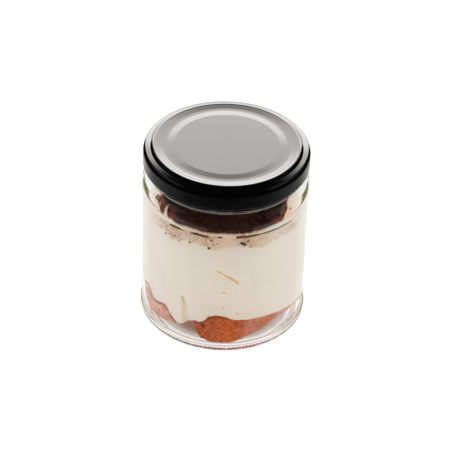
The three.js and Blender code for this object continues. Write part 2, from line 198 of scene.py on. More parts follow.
def curve_through(keys, period=0):
    """A smooth curve through (position, height) keys, by cubic pieces with averaged slopes."""
    points = list(keys)
    if period:
        before = [(x - period, y) for x, y in keys[-2:]]
        after = [(x + period, y) for x, y in keys[:3]]
        points = before + points + after
    xs, ys = np.array(points, float).T
    wide = np.pad([xs, ys], ((0, 0), (1, 1)), mode="edge")
    runs, rises = wide[:, 2:] - wide[:, :-2]
    slopes = rises / runs

    def height(position):
        x = np.asarray(position, float)
        if period:
            x = keys[0][0] + (x - keys[0][0]) % period
        x = np.clip(x, xs[0], xs[-1])
        i = np.clip(np.searchsorted(xs, x, side="right") - 1, 0, len(xs) - 2)
        width = xs[i + 1] - xs[i]
        s = (x - xs[i]) / width
        s2 = s * s
        s3 = s2 * s
        return (
            (2 * s3 - 3 * s2 + 1) * ys[i]
            + (s3 - 2 * s2 + s) * width * slopes[i]
            + (3 * s2 - 2 * s3) * ys[i + 1]
            + (s3 - s2) * width * slopes[i + 1]
        )

    return height


def arc(centre, radii, start, stop, steps):
    """Points of an elliptic arc in the (radius, height) plane, angles in degrees."""
    angles = np.radians(np.linspace(start, stop, steps + 1))
    return [(centre[0] + radii[0] * math.cos(a), centre[1] + radii[1] * math.sin(a)) for a in angles]


def line(start, stop, steps):
    """Points from start to stop, without the last one."""
    shares = np.linspace(0, 1, steps, endpoint=False)
    return [tuple(mix(a, b, t) for a, b in zip(start, stop)) for t in shares]


def wrapped(azimuth):
    """The azimuth as -180 to 180 degrees."""
    return (np.asarray(azimuth, float) + 180) % 360 - 180


def wobble(x, y, z):
    """Smooth noise round 0."""
    return noise.noise(Vector((x, y, z)))


def wall_point(azimuth, radius, height):
    """The place at an azimuth, a radius and a height, all in millimetres and degrees."""
    a = math.radians(azimuth)
    return Vector((radius * math.sin(a), -radius * math.cos(a), height))


def mesh_piece(name, vertices, faces, material, smooth_shading=True):
    """A piece of the object in metres, from vertices in millimetres, riding on the jar."""
    mesh = bpy.data.meshes.new(name)
    mesh.from_pydata([tuple(v) for v in np.asarray(vertices, float) * MM], [], faces)
    mesh.validate()
    piece = bpy.data.objects.new(name, mesh)
    bpy.context.scene.collection.objects.link(piece)
    mesh.materials.append(material)
    mesh.polygons.foreach_set("use_smooth", [smooth_shading] * len(mesh.polygons))
    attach(piece, BODY)
    return piece


def merge_close(piece, distance=1e-6):
    """Joins vertices that meet, as where rings close on the axis."""
    work = bmesh.new()
    work.from_mesh(piece.data)
    bmesh.ops.remove_doubles(work, verts=work.verts, dist=distance)
    bmesh.ops.dissolve_degenerate(work, edges=work.edges, dist=distance)
    bmesh.ops.recalc_face_normals(work, faces=work.faces)
    work.to_mesh(piece.data)
    work.free()


def grid_faces(rings, count, full_turn=False):
    """Quads between rings of count points: open rings all round the jar, or else closed rings
    that make a tube, with a face over each of its ends."""
    faces = []
    for i in range(rings if full_turn else rings - 1):
        j = (i + 1) % rings
        for k in range(count - 1 if full_turn else count):
            m = (k + 1) % count
            faces.append((i * count + k, j * count + k, j * count + m, i * count + m))
    if not full_turn:
        last = (rings - 1) * count
        faces += [tuple(range(count))[::-1], tuple(range(last, last + count))]
    return faces


def swept(name, azimuths, sections, material, full_turn=True):
    """A surface through sections, an array of [azimuth][point][radius, height]."""
    sections = np.asarray(sections, float)
    angles = np.radians(azimuths)[:, None]
    radius, height = sections[:, :, 0], sections[:, :, 1]
    xyz = np.stack([radius * np.sin(angles), -radius * np.cos(angles), height], axis=-1)
    faces = grid_faces(len(azimuths), sections.shape[1], full_turn)
    piece = mesh_piece(name, xyz.reshape(-1, 3), faces, material)
    merge_close(piece)
    return piece


def join_parts(name, parts, material):
    """One flat-shaded piece from several (vertices, faces) lists."""
    vertices, faces = [], []
    for some_vertices, some_faces in parts:
        start = len(vertices)
        vertices += list(some_vertices)
        faces += [tuple(start + k for k in face) for face in some_faces]
    mesh_piece(name, vertices, faces, material, smooth_shading=False)


# ---- inside of the jar ----

# A number or an array goes in, and the same comes out: [()] makes a number of a bare array.

def floor_height(radius):
    """Height of the floor's inside, with the rounding up to the wall."""
    flat = FLOOR_EDGE + FLOOR_DOME * (1 - (radius / FLOOR_FLAT_RADIUS) ** 2)
    out = np.clip(radius - FLOOR_FLAT_RADIUS, 0, FLOOR_ROUNDING)
    corner = FLOOR_EDGE + FLOOR_ROUNDING - np.sqrt(FLOOR_ROUNDING**2 - out**2)
    return np.where(radius <= FLOOR_FLAT_RADIUS, flat, corner)[()]


def cavity_radius(height):
    """Inner radius of the wall, with the rounding at the floor and the shoulder."""
    below = np.clip(FLOOR_EDGE + FLOOR_ROUNDING - height, 0, FLOOR_ROUNDING)
    corner = FLOOR_FLAT_RADIUS + np.sqrt(FLOOR_ROUNDING**2 - below**2)
    up = (height - INNER_SHOULDER_BOTTOM) / (INNER_SHOULDER_TOP - INNER_SHOULDER_BOTTOM)
    shoulder = mix(BORE_RADIUS, CAVITY_RADIUS, np.sqrt(1 - np.clip(up, 0, 1) ** 2))
    return np.where(height < INNER_SHOULDER_BOTTOM, corner, shoulder)[()]


cream_lower_edge = curve_through(CREAM_LOWER_EDGE, 360)
cream_top_edge = curve_through(CREAM_TOP_EDGE, 360)
cocoa_top_edge = curve_through(COCOA_TOP_EDGE, 360)


def ends_of(piece):
    """First and last azimuth of a ladyfinger."""
    return piece["edge"][0][0], piece["edge"][-1][0]


def coverage(azimuth):
    """1 well inside a ladyfinger's stretch of the glass, 0 outside it."""
    best = 0.0
    for start, stop in map(ends_of, LADYFINGERS):
        along = (azimuth - start) % 360
        best = np.maximum(best, smooth(np.minimum(along, stop - start - along) / END_CLOSING))
    return best


def cream_span(azimuth):
    """Radii between which the cream's underside rises from the floor to its edge at the glass."""
    covered = coverage(azimuth)
    return [mix(hollow, cover, covered) for hollow, cover in zip(HOLLOW_SPAN, COVERED_SPAN)]


def cream_underside(azimuth, radius):
    core, arch = cream_span(azimuth)
    rise = smooth((radius - core) / (arch - core))
    return mix(floor_height(radius), cream_lower_edge(azimuth), rise)


def cream_top(azimuth, radius):
    return mix(CREAM_TOP, cream_top_edge(azimuth), (radius / CAVITY_RADIUS) ** 3)


def cocoa_top(azimuth, radius):
    a = np.radians(azimuth)
    out = radius / CAVITY_RADIUS
    mounds = np.sin(4 * a + 1.3) * out + 0.7 * np.cos(9 * out + 2 * a) * out
    rim = smooth((radius - COCOA_RIM_RADIUS) / (CAVITY_RADIUS - COCOA_RIM_RADIUS))
    return mix(COCOA_TOP + COCOA_MOUND * mounds, cocoa_top_edge(azimuth), rim)


# ---- node helpers ----

class Nodes:
    """A node tree and short ways to add to it. A value is a number, an (r, g, b) or a socket."""

    def __init__(self, tree):
        self.tree = tree

    def feed(self, socket, value):
        """Gives an input a value or links it to an output."""
        if isinstance(value, bpy.types.NodeSocket):
            self.tree.links.new(value, socket)
        else:
            socket.default_value = (*value, 1) if isinstance(value, tuple) else value

    def node(self, kind, **values):
        """A new node, with the values of its inputs by name and _ for a space."""
        node = self.tree.nodes.new("ShaderNode" + kind)
        for name, value in values.items():
            self.feed(node.inputs[name.replace("_", " ")], value)
        return node

    def maths(self, operation, first, second=0.0):
        node = self.node("Math")
        node.operation = operation
        self.feed(node.inputs[0], first)
        self.feed(node.inputs[1], second)
        return node.outputs[0]

    def times(self, first, *others):
        for other in others:
            first = self.maths("MULTIPLY", first, other)
        return first

    def blend(self, factor, first, second, kind="RGBA"):
        """A colour, or with the kind FLOAT a number, between first and second."""
        node = self.node("Mix")
        node.data_type = kind
        input_at, output_at = {"RGBA": (6, 2), "FLOAT": (2, 0)}[kind]
        self.feed(node.inputs["Factor"], factor)
        self.feed(node.inputs[input_at], first)
        self.feed(node.inputs[input_at + 1], second)
        return node.outputs[output_at]

    def layered(self, colour, *layers):
        """A colour with layers of (weight, colour) over it."""
        for weight, over in layers:
            colour = self.blend(weight, colour, over)
        return colour


class Shader(Nodes):
    """A material with one Principled shader, in object coordinates."""

    def __init__(self, name, **values):
        self.material = bpy.data.materials.new(name)
        self.material.use_nodes = True
        super().__init__(self.material.node_tree)
        self.coordinates = self.node("TexCoord").outputs["Object"]
        self.set(**values)

    def set(self, **values):
        """Feeds inputs of the Principled shader."""
        for name, value in values.items():
            self.feed(self.tree.nodes["Principled BSDF"].inputs[name.replace("_", " ")], value)

    def noise(self, scale, detail=3.0, roughness=0.55, distortion=0.0):
        shape = {"Detail": detail, "Roughness": roughness, "Distortion": distortion}
        return self.node("TexNoise", Vector=self.coordinates, Scale=scale, **shape).outputs["Fac"]

    def ranged(self, source, low, high, to_low=0.0, to_high=1.0):
        """The source eased from to_low, where it is low, to to_high, where it is high."""
        levels = {"To_Min": to_low, "To_Max": to_high}
        node = self.node("MapRange", Value=source, From_Min=low, From_Max=high, **levels)
        node.interpolation_type = "SMOOTHSTEP"
        return node.outputs["Result"]

    def waves_round(self, count):
        """Waves from 0 to 1, so many in a turn round the jar's axis."""
        turn = self.node("TexGradient", Vector=self.coordinates)
        turn.gradient_type = "RADIAL"
        angle = self.times(turn.outputs["Fac"], 2 * math.pi * count)
        return self.ranged(self.maths("SINE", angle), -1.0, 1.0)

    def attribute(self, name):
        """The weights of a name that the vertices carry."""
        node = self.node("Attribute")
        node.attribute_name = name
        return node.outputs["Fac"]

    def bump(self, height, distance, strength=1.0, **under):
        """Bumps the surface, on top of an earlier bump where Normal says so."""
        node = self.node("Bump", Height=height, Distance=distance, Strength=strength, **under)
        self.set(Normal=node.outputs["Normal"])
        return node.outputs["Normal"]


def weights(piece, name, values):
    """Stores one value for each vertex, for a material to read."""
    layer = piece.data.attributes.new(name, "FLOAT", "POINT")
    layer.data.foreach_set("value", np.asarray(values, np.float32))


def vertex_places(piece):
    """Azimuth, radius and height of each vertex, in degrees and millimetres."""
    co = np.empty(len(piece.data.vertices) * 3)
    piece.data.vertices.foreach_get("co", co)
    x, y, z = (co.reshape(-1, 3) / MM).T
    return np.degrees(np.arctan2(x, -y)), np.hypot(x, y), z


# ---- materials ----

def glass_material():
    """Clear glass, faintly rippled, with uneven knurls on its heel."""
    s = Shader("clear_glass", Base_Color=(1, 1, 1), Roughness=0.0, IOR=1.5, Transmission_Weight=1.0)
    ripple = s.bump(s.noise(90, detail=1.5), distance=0.00002, strength=0.35)
    uneven = s.ranged(s.noise(160, detail=2), 0.35, 0.6, 0.3, 1.0)
    knurls = s.times(s.attribute("knurl"), uneven, s.waves_round(KNURL_COUNT))
    s.bump(knurls, distance=KNURL_DEPTH * MM, Normal=ripple)
    absorb = s.node("VolumeAbsorption", Color=(0.80, 0.84, 0.72), Density=8)
    s.feed(s.tree.nodes["Material Output"].inputs["Volume"], absorb.outputs["Volume"])
    return s.material


def enamel_material():
    """Glossy black enamel, a little smudged and with a fine orange peel."""
    s = Shader("lid_enamel", Base_Color=(0.0008, 0.0008, 0.001), IOR=1.5)
    smudge = s.noise(55, detail=5, roughness=0.65, distortion=0.6)
    s.set(Roughness=s.ranged(smudge, 0.35, 0.75, 0.02, 0.05))
    s.bump(s.noise(420, detail=2), distance=0.00001, strength=0.25)
    return s.material


def cream_material():
    """Cream, tanned and smudged with cocoa where the weights of its vertices say so, with painted shade in
    its folds and painted light on its thin films.
    """
    s = Shader("cream", Roughness=0.5, IOR=1.4)
    broad = s.ranged(s.noise(45, distortion=0.4), 0.3, 0.7)
    patches = s.ranged(s.noise(260, detail=4, roughness=0.6), 0.3, 0.62, 0.65, 1.0)
    clumps = s.ranged(s.noise(150, roughness=0.6, distortion=1.2), 0.42, 0.56, 0.2, 1.2)
    grain = s.ranged(s.noise(650, detail=5, roughness=0.72), 0.34, 0.66, 0.3, 1.0)
    flecks = s.ranged(s.noise(1500, roughness=0.7), 0.57, 0.64, 0.0, 1.4)
    dust = s.ranged(s.noise(1100), 0.36, 0.54)
    smudge = s.times(s.attribute("blush"), clumps)
    s.set(Base_Color=s.layered(
        s.blend(broad, (0.78, 0.72, 0.62), (0.81, 0.755, 0.66)),
        # painted light: untanned films are whiter, partly their own pale cream, partly the light that shines
        # through them
        (s.attribute("milky_and_lit"), (0.90, 0.89, 0.88)),
        # tan of the stained band, which also paints the shade in the folds
        (s.times(s.attribute("stain_and_fold_shade"), patches), (0.78, 0.58, 0.39)),
        (s.times(smudge, grain), (0.52, 0.27, 0.185)),
        (s.times(smudge, flecks), (0.25, 0.065, 0.030)),
        (s.times(s.attribute("fringe"), dust), (0.20, 0.055, 0.025)),
        (s.attribute("soaked"), (0.44, 0.20, 0.03)),
    ))
    s.bump(s.noise(300, detail=4), distance=0.00006, strength=0.5)
    return s.material


def cocoa_material():
    """Moist cocoa, purplish where the glass presses it, and rusty at its sides near the glass: a thin reddish
    dusting, painted lighter there as if better lit.
    """
    s = Shader("cocoa", Roughness=0.95, IOR=1.35)
    grain = s.noise(520, detail=4)
    pressed = s.ranged(s.noise(420, detail=4), 0.25, 0.6, 0.6, 1.0)
    rusty_and_side_lit = s.ranged(s.noise(700, detail=4), 0.35, 0.6, 0.35, 1.0)
    s.set(Base_Color=s.layered(
        s.blend(s.ranged(grain, 0.38, 0.75), (0.030, 0.0070, 0.0013), (0.070, 0.018, 0.0045)),
        (s.times(s.attribute("contact"), pressed), (0.075, 0.040, 0.042)),
        # painted light: the sides near the glass are redder and lighter, as if better lit, over a thin
        # reddish dusting
        (s.times(s.attribute("rust_and_side_light"), rusty_and_side_lit), (0.17, 0.038, 0.018)),
    ))
    s.bump(grain, distance=0.00012, strength=0.6)
    return s.material


def biscuit_material():
    """Coffee-soaked sponge with pores, dark at its rim, with painted glare: pinkish pale where the glass is
    seen at a grazing angle.
    """
    s = Shader("ladyfinger", Roughness=0.75, IOR=1.4)
    broad = s.noise(110, detail=4, roughness=0.6)
    crumb = s.noise(900, detail=5, roughness=0.75)
    pores = s.ranged(s.noise(520, detail=4, roughness=0.7, distortion=0.8), 0.54, 0.64)
    lumps = s.ranged(s.noise(240, roughness=0.6, distortion=1.2), 0.36, 0.62)
    painted_glare = s.times(s.attribute("painted_glare"), s.ranged(broad, 0.3, 0.7, 0.75, 1.0))
    rim = s.times(s.attribute("rim"), s.ranged(crumb, 0.35, 0.6, 0.4, 1.0))
    s.set(Base_Color=s.layered(
        s.blend(s.ranged(broad, 0.32, 0.68), (0.36, 0.050, 0.010), (0.58, 0.115, 0.026)),
        (s.ranged(crumb, 0.44, 0.66), (0.72, 0.21, 0.055)),
        (s.times(pores, 0.6), (0.13, 0.018, 0.006)),
        # painted reflection: pinkish glare of the glass at a grazing view
        (painted_glare, s.blend(lumps, (0.62, 0.37, 0.31), (0.86, 0.64, 0.50))),
        (rim, (0.20, 0.045, 0.028)),
        # painted shade in the crater's pit
        (s.times(s.attribute("crater_shade"), 0.9), (0.10, 0.018, 0.012)),
    ))
    s.bump(crumb, distance=0.0003, strength=0.8)
    return s.material


def fleck_material(name, colour, darker):
    s = Shader(name, Roughness=0.8)
    s.set(Base_Color=s.blend(s.ranged(s.noise(1500, detail=2), 0.4, 0.65), colour, darker))
    return s.material


def rubbed_material():
    """Cocoa rubbed thin on the glass, from rust to pinkish tan."""
    s = Shader("cocoa_rubbed", Roughness=0.8, IOR=1.4)
    streaky = s.ranged(s.noise(620, detail=4, roughness=0.65, distortion=0.5), 0.38, 0.62)
    s.set(Base_Color=s.layered(
        (0.055, 0.013, 0.006),
        (streaky, (0.18, 0.050, 0.024)),
        (s.ranged(s.noise(380), 0.56, 0.72), (0.50, 0.27, 0.19)),
    ))
    s.bump(streaky, distance=0.00005, strength=0.4)
    return s.material


def table_material():
    """Evenly lit white table."""
    s = Shader("floor", Roughness=0.6, Base_Color=TABLE_GREY, Emission_Color=(1, 1, 1))
    s.set(Emission_Strength=s.ranged(s.noise(4, detail=2), 0.2, 0.8, 0.94, 0.98))
    return s.material


def under_jar_material():
    """The table under the jar: brown in the middle, where the food keeps the light off it."""
    s = Shader("floor_under_jar", Roughness=0.6, Base_Color=TABLE_GREY, Emission_Strength=1.0)
    length = s.node("VectorMath")
    length.operation = "LENGTH"
    s.feed(length.inputs[0], s.coordinates)

    def beyond(start, stop, *levels):
        return s.ranged(length.outputs["Value"], start * MM, stop * MM, *levels)

    brown, dusky, grey, bright = SHADE_RADII
    inner, outer = CONTACT_RADII
    contact = s.times(beyond(inner - CONTACT_FADE, inner), beyond(outer, outer + CONTACT_FADE, 1.0, 0.0))
    s.set(Emission_Color=s.layered(
        (0.38, 0.13, 0.05),
        (beyond(brown, dusky), (0.27, 0.155, 0.115)),
        (beyond(dusky, grey), (0.60, 0.53, 0.50)),
        (beyond(grey, bright), (0.88, 0.88, 0.90)),
        (contact, (0.42, 0.22, 0.06)),
        (beyond(DISC_RADIUS - DISC_FADE, DISC_RADIUS), (0.96, 0.96, 0.96)),
    ))
    return s.material


GLASS = glass_material()
ENAMEL = enamel_material()
CREAM = cream_material()
COCOA = cocoa_material()
BISCUIT = biscuit_material()
RUBBED = rubbed_material()


# ---- glass jar ----

def underside_profile():
    """[radius, height] points over the hollow under the jar, out to the ring that it stands on."""
    radii = [*np.linspace(0, RIB_INNER_RADIUS, 10), *np.linspace(RIB_INNER_RADIUS + 1, PUSH_UP_RADIUS, 5)]
    return [
        *[(r, mix(PUSH_UP_TOP, PUSH_UP_EDGE, (r / PUSH_UP_RADIUS) ** 2)) for r in radii],
        *line((PUSH_UP_RADIUS + 0.1, PUSH_UP_EDGE - 0.1), (BEARING_INNER_RADIUS, 0), 6),
    ]


def outside_profile():
    """Points from the ring over heel, panel, shoulder, bead and neck to the top of the rim."""
    heel = arc((HEEL_RADIUS - HEEL_ROUNDING, HEEL_ROUNDING), (HEEL_ROUNDING,) * 2, -90, 0, 12)
    panel_bottom = HEEL_BAND_TOP + BAND_STEP
    panel_top = SHOULDER_BAND_BOTTOM - BAND_STEP
    shoulder_size = SHOULDER_RADIUS - NECK_RADIUS, SHOULDER_HEIGHT
    neck_bottom = BEAD_HEIGHT + BEAD_HALF + 2 * NEAR_BEND
    rim_radius = NECK_RADIUS - BEFORE_BEND - RIM_ROUNDING
    return [
        *line((BEARING_INNER_RADIUS, 0), heel[0], 6),
        *heel,
        (HEEL_RADIUS, HEEL_BAND_TOP - NEAR_BEND),
        *s_step((HEEL_RADIUS, HEEL_BAND_TOP), (PANEL_RADIUS, panel_bottom)),
        *line((PANEL_RADIUS, panel_bottom + NEAR_BEND), (PANEL_RADIUS, panel_top - BEFORE_BEND), 8),
        *s_step((PANEL_RADIUS, panel_top), (SHOULDER_RADIUS, SHOULDER_BAND_BOTTOM)),
        (SHOULDER_RADIUS, SHOULDER_BAND_BOTTOM + NEAR_BEND),
        *arc((NECK_RADIUS, SHOULDER_BAND_TOP), shoulder_size, 0, 84, 20),
        *arc((NECK_RADIUS, BEAD_HEIGHT), (BEAD_RADIUS - NECK_RADIUS, BEAD_HALF), -50, 80, 10),
        *line((NECK_RADIUS, neck_bottom), (NECK_RADIUS, RIM_TOP - 2 * RIM_ROUNDING), 24),
        *arc((rim_radius, RIM_TOP - RIM_ROUNDING), (RIM_ROUNDING,) * 2, 0, 90, 6),
    ]


def inside_profile():
    """Points from the rim down the bore, shoulder and wall to the middle of the floor."""
    shoulder_size = CAVITY_RADIUS - BORE_RADIUS, INNER_SHOULDER_TOP - INNER_SHOULDER_BOTTOM
    wall_top = INNER_SHOULDER_BOTTOM - BEFORE_BEND
    corner = FLOOR_EDGE + FLOOR_ROUNDING
    return [
        *arc((BORE_RADIUS + RIM_ROUNDING, RIM_TOP - RIM_ROUNDING), (RIM_ROUNDING,) * 2, 90, 180, 6)[1:],
        *line((BORE_RADIUS, RIM_TOP - RIM_ROUNDING - 0.5), (BORE_RADIUS, INNER_SHOULDER_TOP + 0.2), 8),
        *arc((BORE_RADIUS, INNER_SHOULDER_BOTTOM), shoulder_size, 90, 0, 20),
        *line((CAVITY_RADIUS, wall_top), (CAVITY_RADIUS, corner + BEFORE_BEND), 10),
        *arc((FLOOR_FLAT_RADIUS, corner), (FLOOR_ROUNDING,) * 2, 0, -90, 16),
        *[(r, floor_height(r)) for r in np.linspace(FLOOR_FLAT_RADIUS, 0, 12)[1:]],
    ]


def s_step(start, stop):
    """A soft step between two radii."""
    return [
        (mix(start[0], stop[0], smooth(t)), mix(start[1], stop[1], t))
        for t in np.linspace(0, 1, 6)
    ]


def thread_proud(azimuth, height):
    """How far the thread stands out of the neck."""
    proud = np.zeros(np.broadcast(azimuth, height).shape)
    for i in range(LUG_COUNT):
        along = ((azimuth - THREAD_FIRST_AZIMUTH - i * 360 / LUG_COUNT) % 360) / THREAD_SPAN
        middle = mix(THREAD_HIGH, THREAD_LOW, along)
        ends = smooth(along / 0.2) * smooth((1 - along) / 0.2)
        across = np.clip(1 - np.abs(height - middle) / THREAD_HALF_HEIGHT, 0, 1)
        proud = np.maximum(proud, (THREAD_RADIUS - NECK_RADIUS) * ends * smooth(across * 1.6))
    return proud


def glass_jar():
    profile = np.array([*underside_profile(), *outside_profile(), *inside_profile()], float)
    count = RIB_COUNT * RIB_SAMPLES
    azimuths = np.arange(count) * 360 / count
    sections = np.repeat(profile[None], count, axis=0)
    a = azimuths[:, None]
    r, z = profile[None, :, 0], profile[None, :, 1]
    hollow_end = PUSH_UP_RADIUS + 0.05
    on_neck = (np.abs(r - NECK_RADIUS) < 0.01) & (z > BEAD_HEIGHT + BEAD_HALF)
    on_ring = (r > hollow_end) & (z < PUSH_UP_EDGE)
    on_hollow = (r <= hollow_end) & (z < PUSH_UP_TOP + 0.01)
    groove = 0.5 - 0.5 * np.cos(np.radians(a * RIB_COUNT))
    deep = RIB_DEPTH * groove * np.clip(1 - z / PUSH_UP_EDGE, 0, 1)
    shallow = RIB_SHALLOW * groove * smooth((r - RIB_INNER_RADIUS) / RIB_FADE)
    sections[:, :, 0] += np.where(on_neck, thread_proud(a, z), 0)
    sections[:, :, 1] += np.where(on_ring, deep, 0)
    sections[:, :, 1] += np.where(on_hollow, shallow, 0)
    jar = swept("jar_glass", azimuths, sections, GLASS)
    _, radius, height = vertex_places(jar)
    start, stop = KNURL_TOP
    low = 1 - smooth((height - start) / (stop - start))
    weights(jar, "knurl", low * smooth((radius - PUSH_UP_RADIUS) / RIB_FADE))
    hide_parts("glass_jar")


# ---- lid ----

def softened(corners, softness):
    """The line through corner points, with three close points round each inner corner."""
    points = [corners[0]]
    for before, corner, after in zip(corners, corners[1:], corners[2:]):
        points.append(stepped(corner, before, softness))
        points.append(nudged(before, corner, after))
        points.append(stepped(corner, after, softness))
    return [*points, corners[-1]]


def stepped(start, towards, length):
    """The point at a length from start towards another point."""
    share = length / math.dist(start, towards)
    return mix(start[0], towards[0], share), mix(start[1], towards[1], share)


def nudged(before, corner, after):
    """The corner moved a little inside its bend."""
    middle = (before[0] + after[0]) / 2, (before[1] + after[1]) / 2
    return stepped(corner, middle, 0.01)


def lid_sheet(depth):
    """The sheet from the middle of the lid over the valley, crest, ledge and shoulder."""
    crest_end = LID_CREST_RADIUS + LID_CREST_WIDTH
    ledge_end = LID_LEDGE_OUTER_RADIUS - depth * 0.6, LID_LEDGE_HEIGHT - LID_LEDGE_FALL - depth
    corners = [
        (0, LID_PANEL_HEIGHT),
        (LID_PANEL_RADIUS - PANEL_ROUNDING, LID_PANEL_HEIGHT),
        (LID_PANEL_RADIUS, LID_PANEL_HEIGHT),
        (LID_VALLEY_RADIUS, LID_VALLEY_HEIGHT),
        (LID_VALLEY_RADIUS + VALLEY_FLAT, LID_VALLEY_HEIGHT + 0.01),
        (LID_CREST_RADIUS, LID_TOP - CREST_ROUNDING),
        (crest_end - 0.05, LID_TOP),
    ]
    fall = [
        (
            mix(crest_end, LID_LEDGE_INNER_RADIUS, t) - depth * 0.4,
            mix(LID_TOP, LID_LEDGE_HEIGHT, smooth(t)) - depth,
        )
        for t in np.linspace(0, 1, 14)
    ]
    shoulder_size = LID_RADIUS - depth - ledge_end[0], ledge_end[1] - LID_SHOULDER_BOTTOM
    return [
        *[(r, z - depth) for r, z in softened(corners, CORNER_SOFTNESS)],
        *fall,
        stepped(fall[-1], ledge_end, 0.25),
        stepped(ledge_end, fall[-1], 0.2),
        *arc((ledge_end[0], LID_SHOULDER_BOTTOM), shoulder_size, 90, 0, 20),
    ]


def lid_profile():
    """[radius, height] points from the middle of the lid's top round to the middle underneath."""
    curl_top = LID_BOTTOM + CURL_RADIUS
    inner = LID_RADIUS - LID_WALL
    return [
        *lid_sheet(0),
        *line((LID_RADIUS, LID_SHOULDER_BOTTOM - NEAR_BEND), (LID_RADIUS, curl_top + BEFORE_BEND), 6),
        *arc((LID_RADIUS - CURL_RADIUS, curl_top), (CURL_RADIUS,) * 2, 0, -180, 16),
        *line((inner, LID_BOTTOM + 2 * CURL_RADIUS + BEFORE_BEND), (inner, LID_SHOULDER_BOTTOM), 6),
        *lid_sheet(LID_WALL)[::-1],
    ]


def lug_block(azimuth):
    """Vertices and faces of one lug under the rolled edge."""
    root = LID_RADIUS - CURL_RADIUS
    bottom = LID_BOTTOM + 0.25
    section = [
        (LUG_INNER_RADIUS, bottom + 0.5),
        (root, bottom),
        (root, bottom + LUG_HEIGHT - 0.2),
        (LUG_INNER_RADIUS, bottom + LUG_HEIGHT),
    ]
    angles = np.linspace(azimuth - LUG_SPAN / 2, azimuth + LUG_SPAN / 2, 10)
    return [wall_point(a, r, z) for a in angles for r, z in section], grid_faces(len(angles), len(section))


def lid():
    profile = np.array(lid_profile(), float)
    azimuths = np.arange(0, 360, 1.0)
    sections = np.repeat(profile[None], len(azimuths), axis=0)
    shell = swept("lid_shell", azimuths, sections, ENAMEL)
    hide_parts("lid")
    first = THREAD_FIRST_AZIMUTH + THREAD_SPAN * 0.85
    blocks = [lug_block(first + i * 360 / LUG_COUNT) for i in range(LUG_COUNT)]
    join_parts("lid_lugs", blocks, ENAMEL)


# ---- cream ----

# Folds where the cream isn't pressed to the glass: a line of (azimuth, height) points, its half
# width at the two ends and how deep it is.
FOLDS = [
    {
        "line": [(-30.0, 26.0), (-27.6, 22.0), (-27.4, 16.0), (-25.5, 12.0)],
        "width": (0.2, 1.5), "depth": 1.5,
    },
    {"line": [(-9.5, 18.6), (-8.6, 15.0)], "width": (0.5, 0.9), "depth": 1.2},
]

# Lower edge of the stained band under the shoulder: (azimuth, height).
STAIN_EDGE = curve_through([
    (-71, 54.0), (-48, 57.1), (-39, 54.6), (-25, 57.3), (-16, 56.5), (-5, 54.8), (0, 56.3), (9, 57.0),
    (28, 54.8), (36, 55.8), (65, 55.4), (100, 57.0), (140, 55.0), (185, 57.5), (230, 55.2), (262, 57.0),
], 360)


def to_segment(x, z, start, stop):
    """Distance from a place to a straight line, and how far along it the nearest point is."""
    (x0, z0), (x1, z1) = start, stop
    length = (x1 - x0) ** 2 + (z1 - z0) ** 2
    t = np.clip(((x - x0) * (x1 - x0) + (z - z0) * (z1 - z0)) / length, 0, 1)
    return np.hypot(x - mix(x0, x1, t), z - mix(z0, z1, t)), t


def fold_depth(azimuth, height):
    """How far the cream stands back from the glass at a place."""
    depth = np.zeros(np.broadcast(azimuth, height).shape)
    for fold in FOLDS:
        points = [(a * PER_DEGREE, z) for a, z in fold["line"]]
        pieces = len(points) - 1
        for i in range(pieces):
            away, t = to_segment(wrapped(azimuth) * PER_DEGREE, height, points[i], points[i + 1])
            along = (i + t) / pieces
            here = fold["depth"] * mix(0.4, 1.0, along) * smooth(1.6 - away / mix(*fold["width"], along))
            depth = np.maximum(depth, here)
    return depth


def cream_section(azimuth):
    """[radius, height] points of the cream at an azimuth, with a rounded lower edge."""
    touch = CAVITY_RADIUS + INTO_GLASS
    inner = touch - LIP_RADIUS
    lip_top = cream_lower_edge(azimuth) + LIP_HEIGHT
    high = cream_top(azimuth, CAVITY_RADIUS)
    return [
        *[(r, cream_underside(azimuth, r)) for r in np.linspace(0, inner, 26)],
        *arc((inner, lip_top), (LIP_RADIUS, LIP_HEIGHT), -90, 0, 8)[1:],
        *[(touch, z) for z in np.linspace(lip_top, high, 84)[1:-1]],
        *[(r, cream_top(azimuth, r)) for r in np.linspace(touch, 0, 20)],
    ]


# How strongly the band under the shoulder is stained, and how far it is smudged with cocoa, by
# azimuth.
STAIN_STRENGTH = curve_through([
    (-80, 0.1), (-62, 0.2), (-50, 0.6), (-44, 0.8), (-30, 0.7), (-16, 0.85), (0, 0.8), (14, 0.9), (26, 0.8),
    (34, 0.5), (46, 0.3), (58, 0.25), (80, 0.1), (120, 0.6), (150, 0.9), (190, 0.7), (225, 0.9), (255, 0.4),
], 360)
SMUDGES = curve_through([
    (-80, 0.0), (-62, 0.1), (-54, 0.3), (-46, 0.8), (-40, 0.7), (-33, 0.4), (-25, 0.32), (-18, 0.25),
    (-10, 0.45), (-5, 0.2), (3, 0.06), (10, 0.2), (16, 0.6), (22, 0.35), (30, 0.22), (38, 0.2), (46, 0.15),
    (56, 0.3), (68, 0.05), (100, 0.1), (130, 0.6), (160, 0.3), (190, 0.7), (220, 0.3), (250, 0.5),
], 360)
STREAK_HEIGHT = 62.4       # about where the cocoa streaks lie


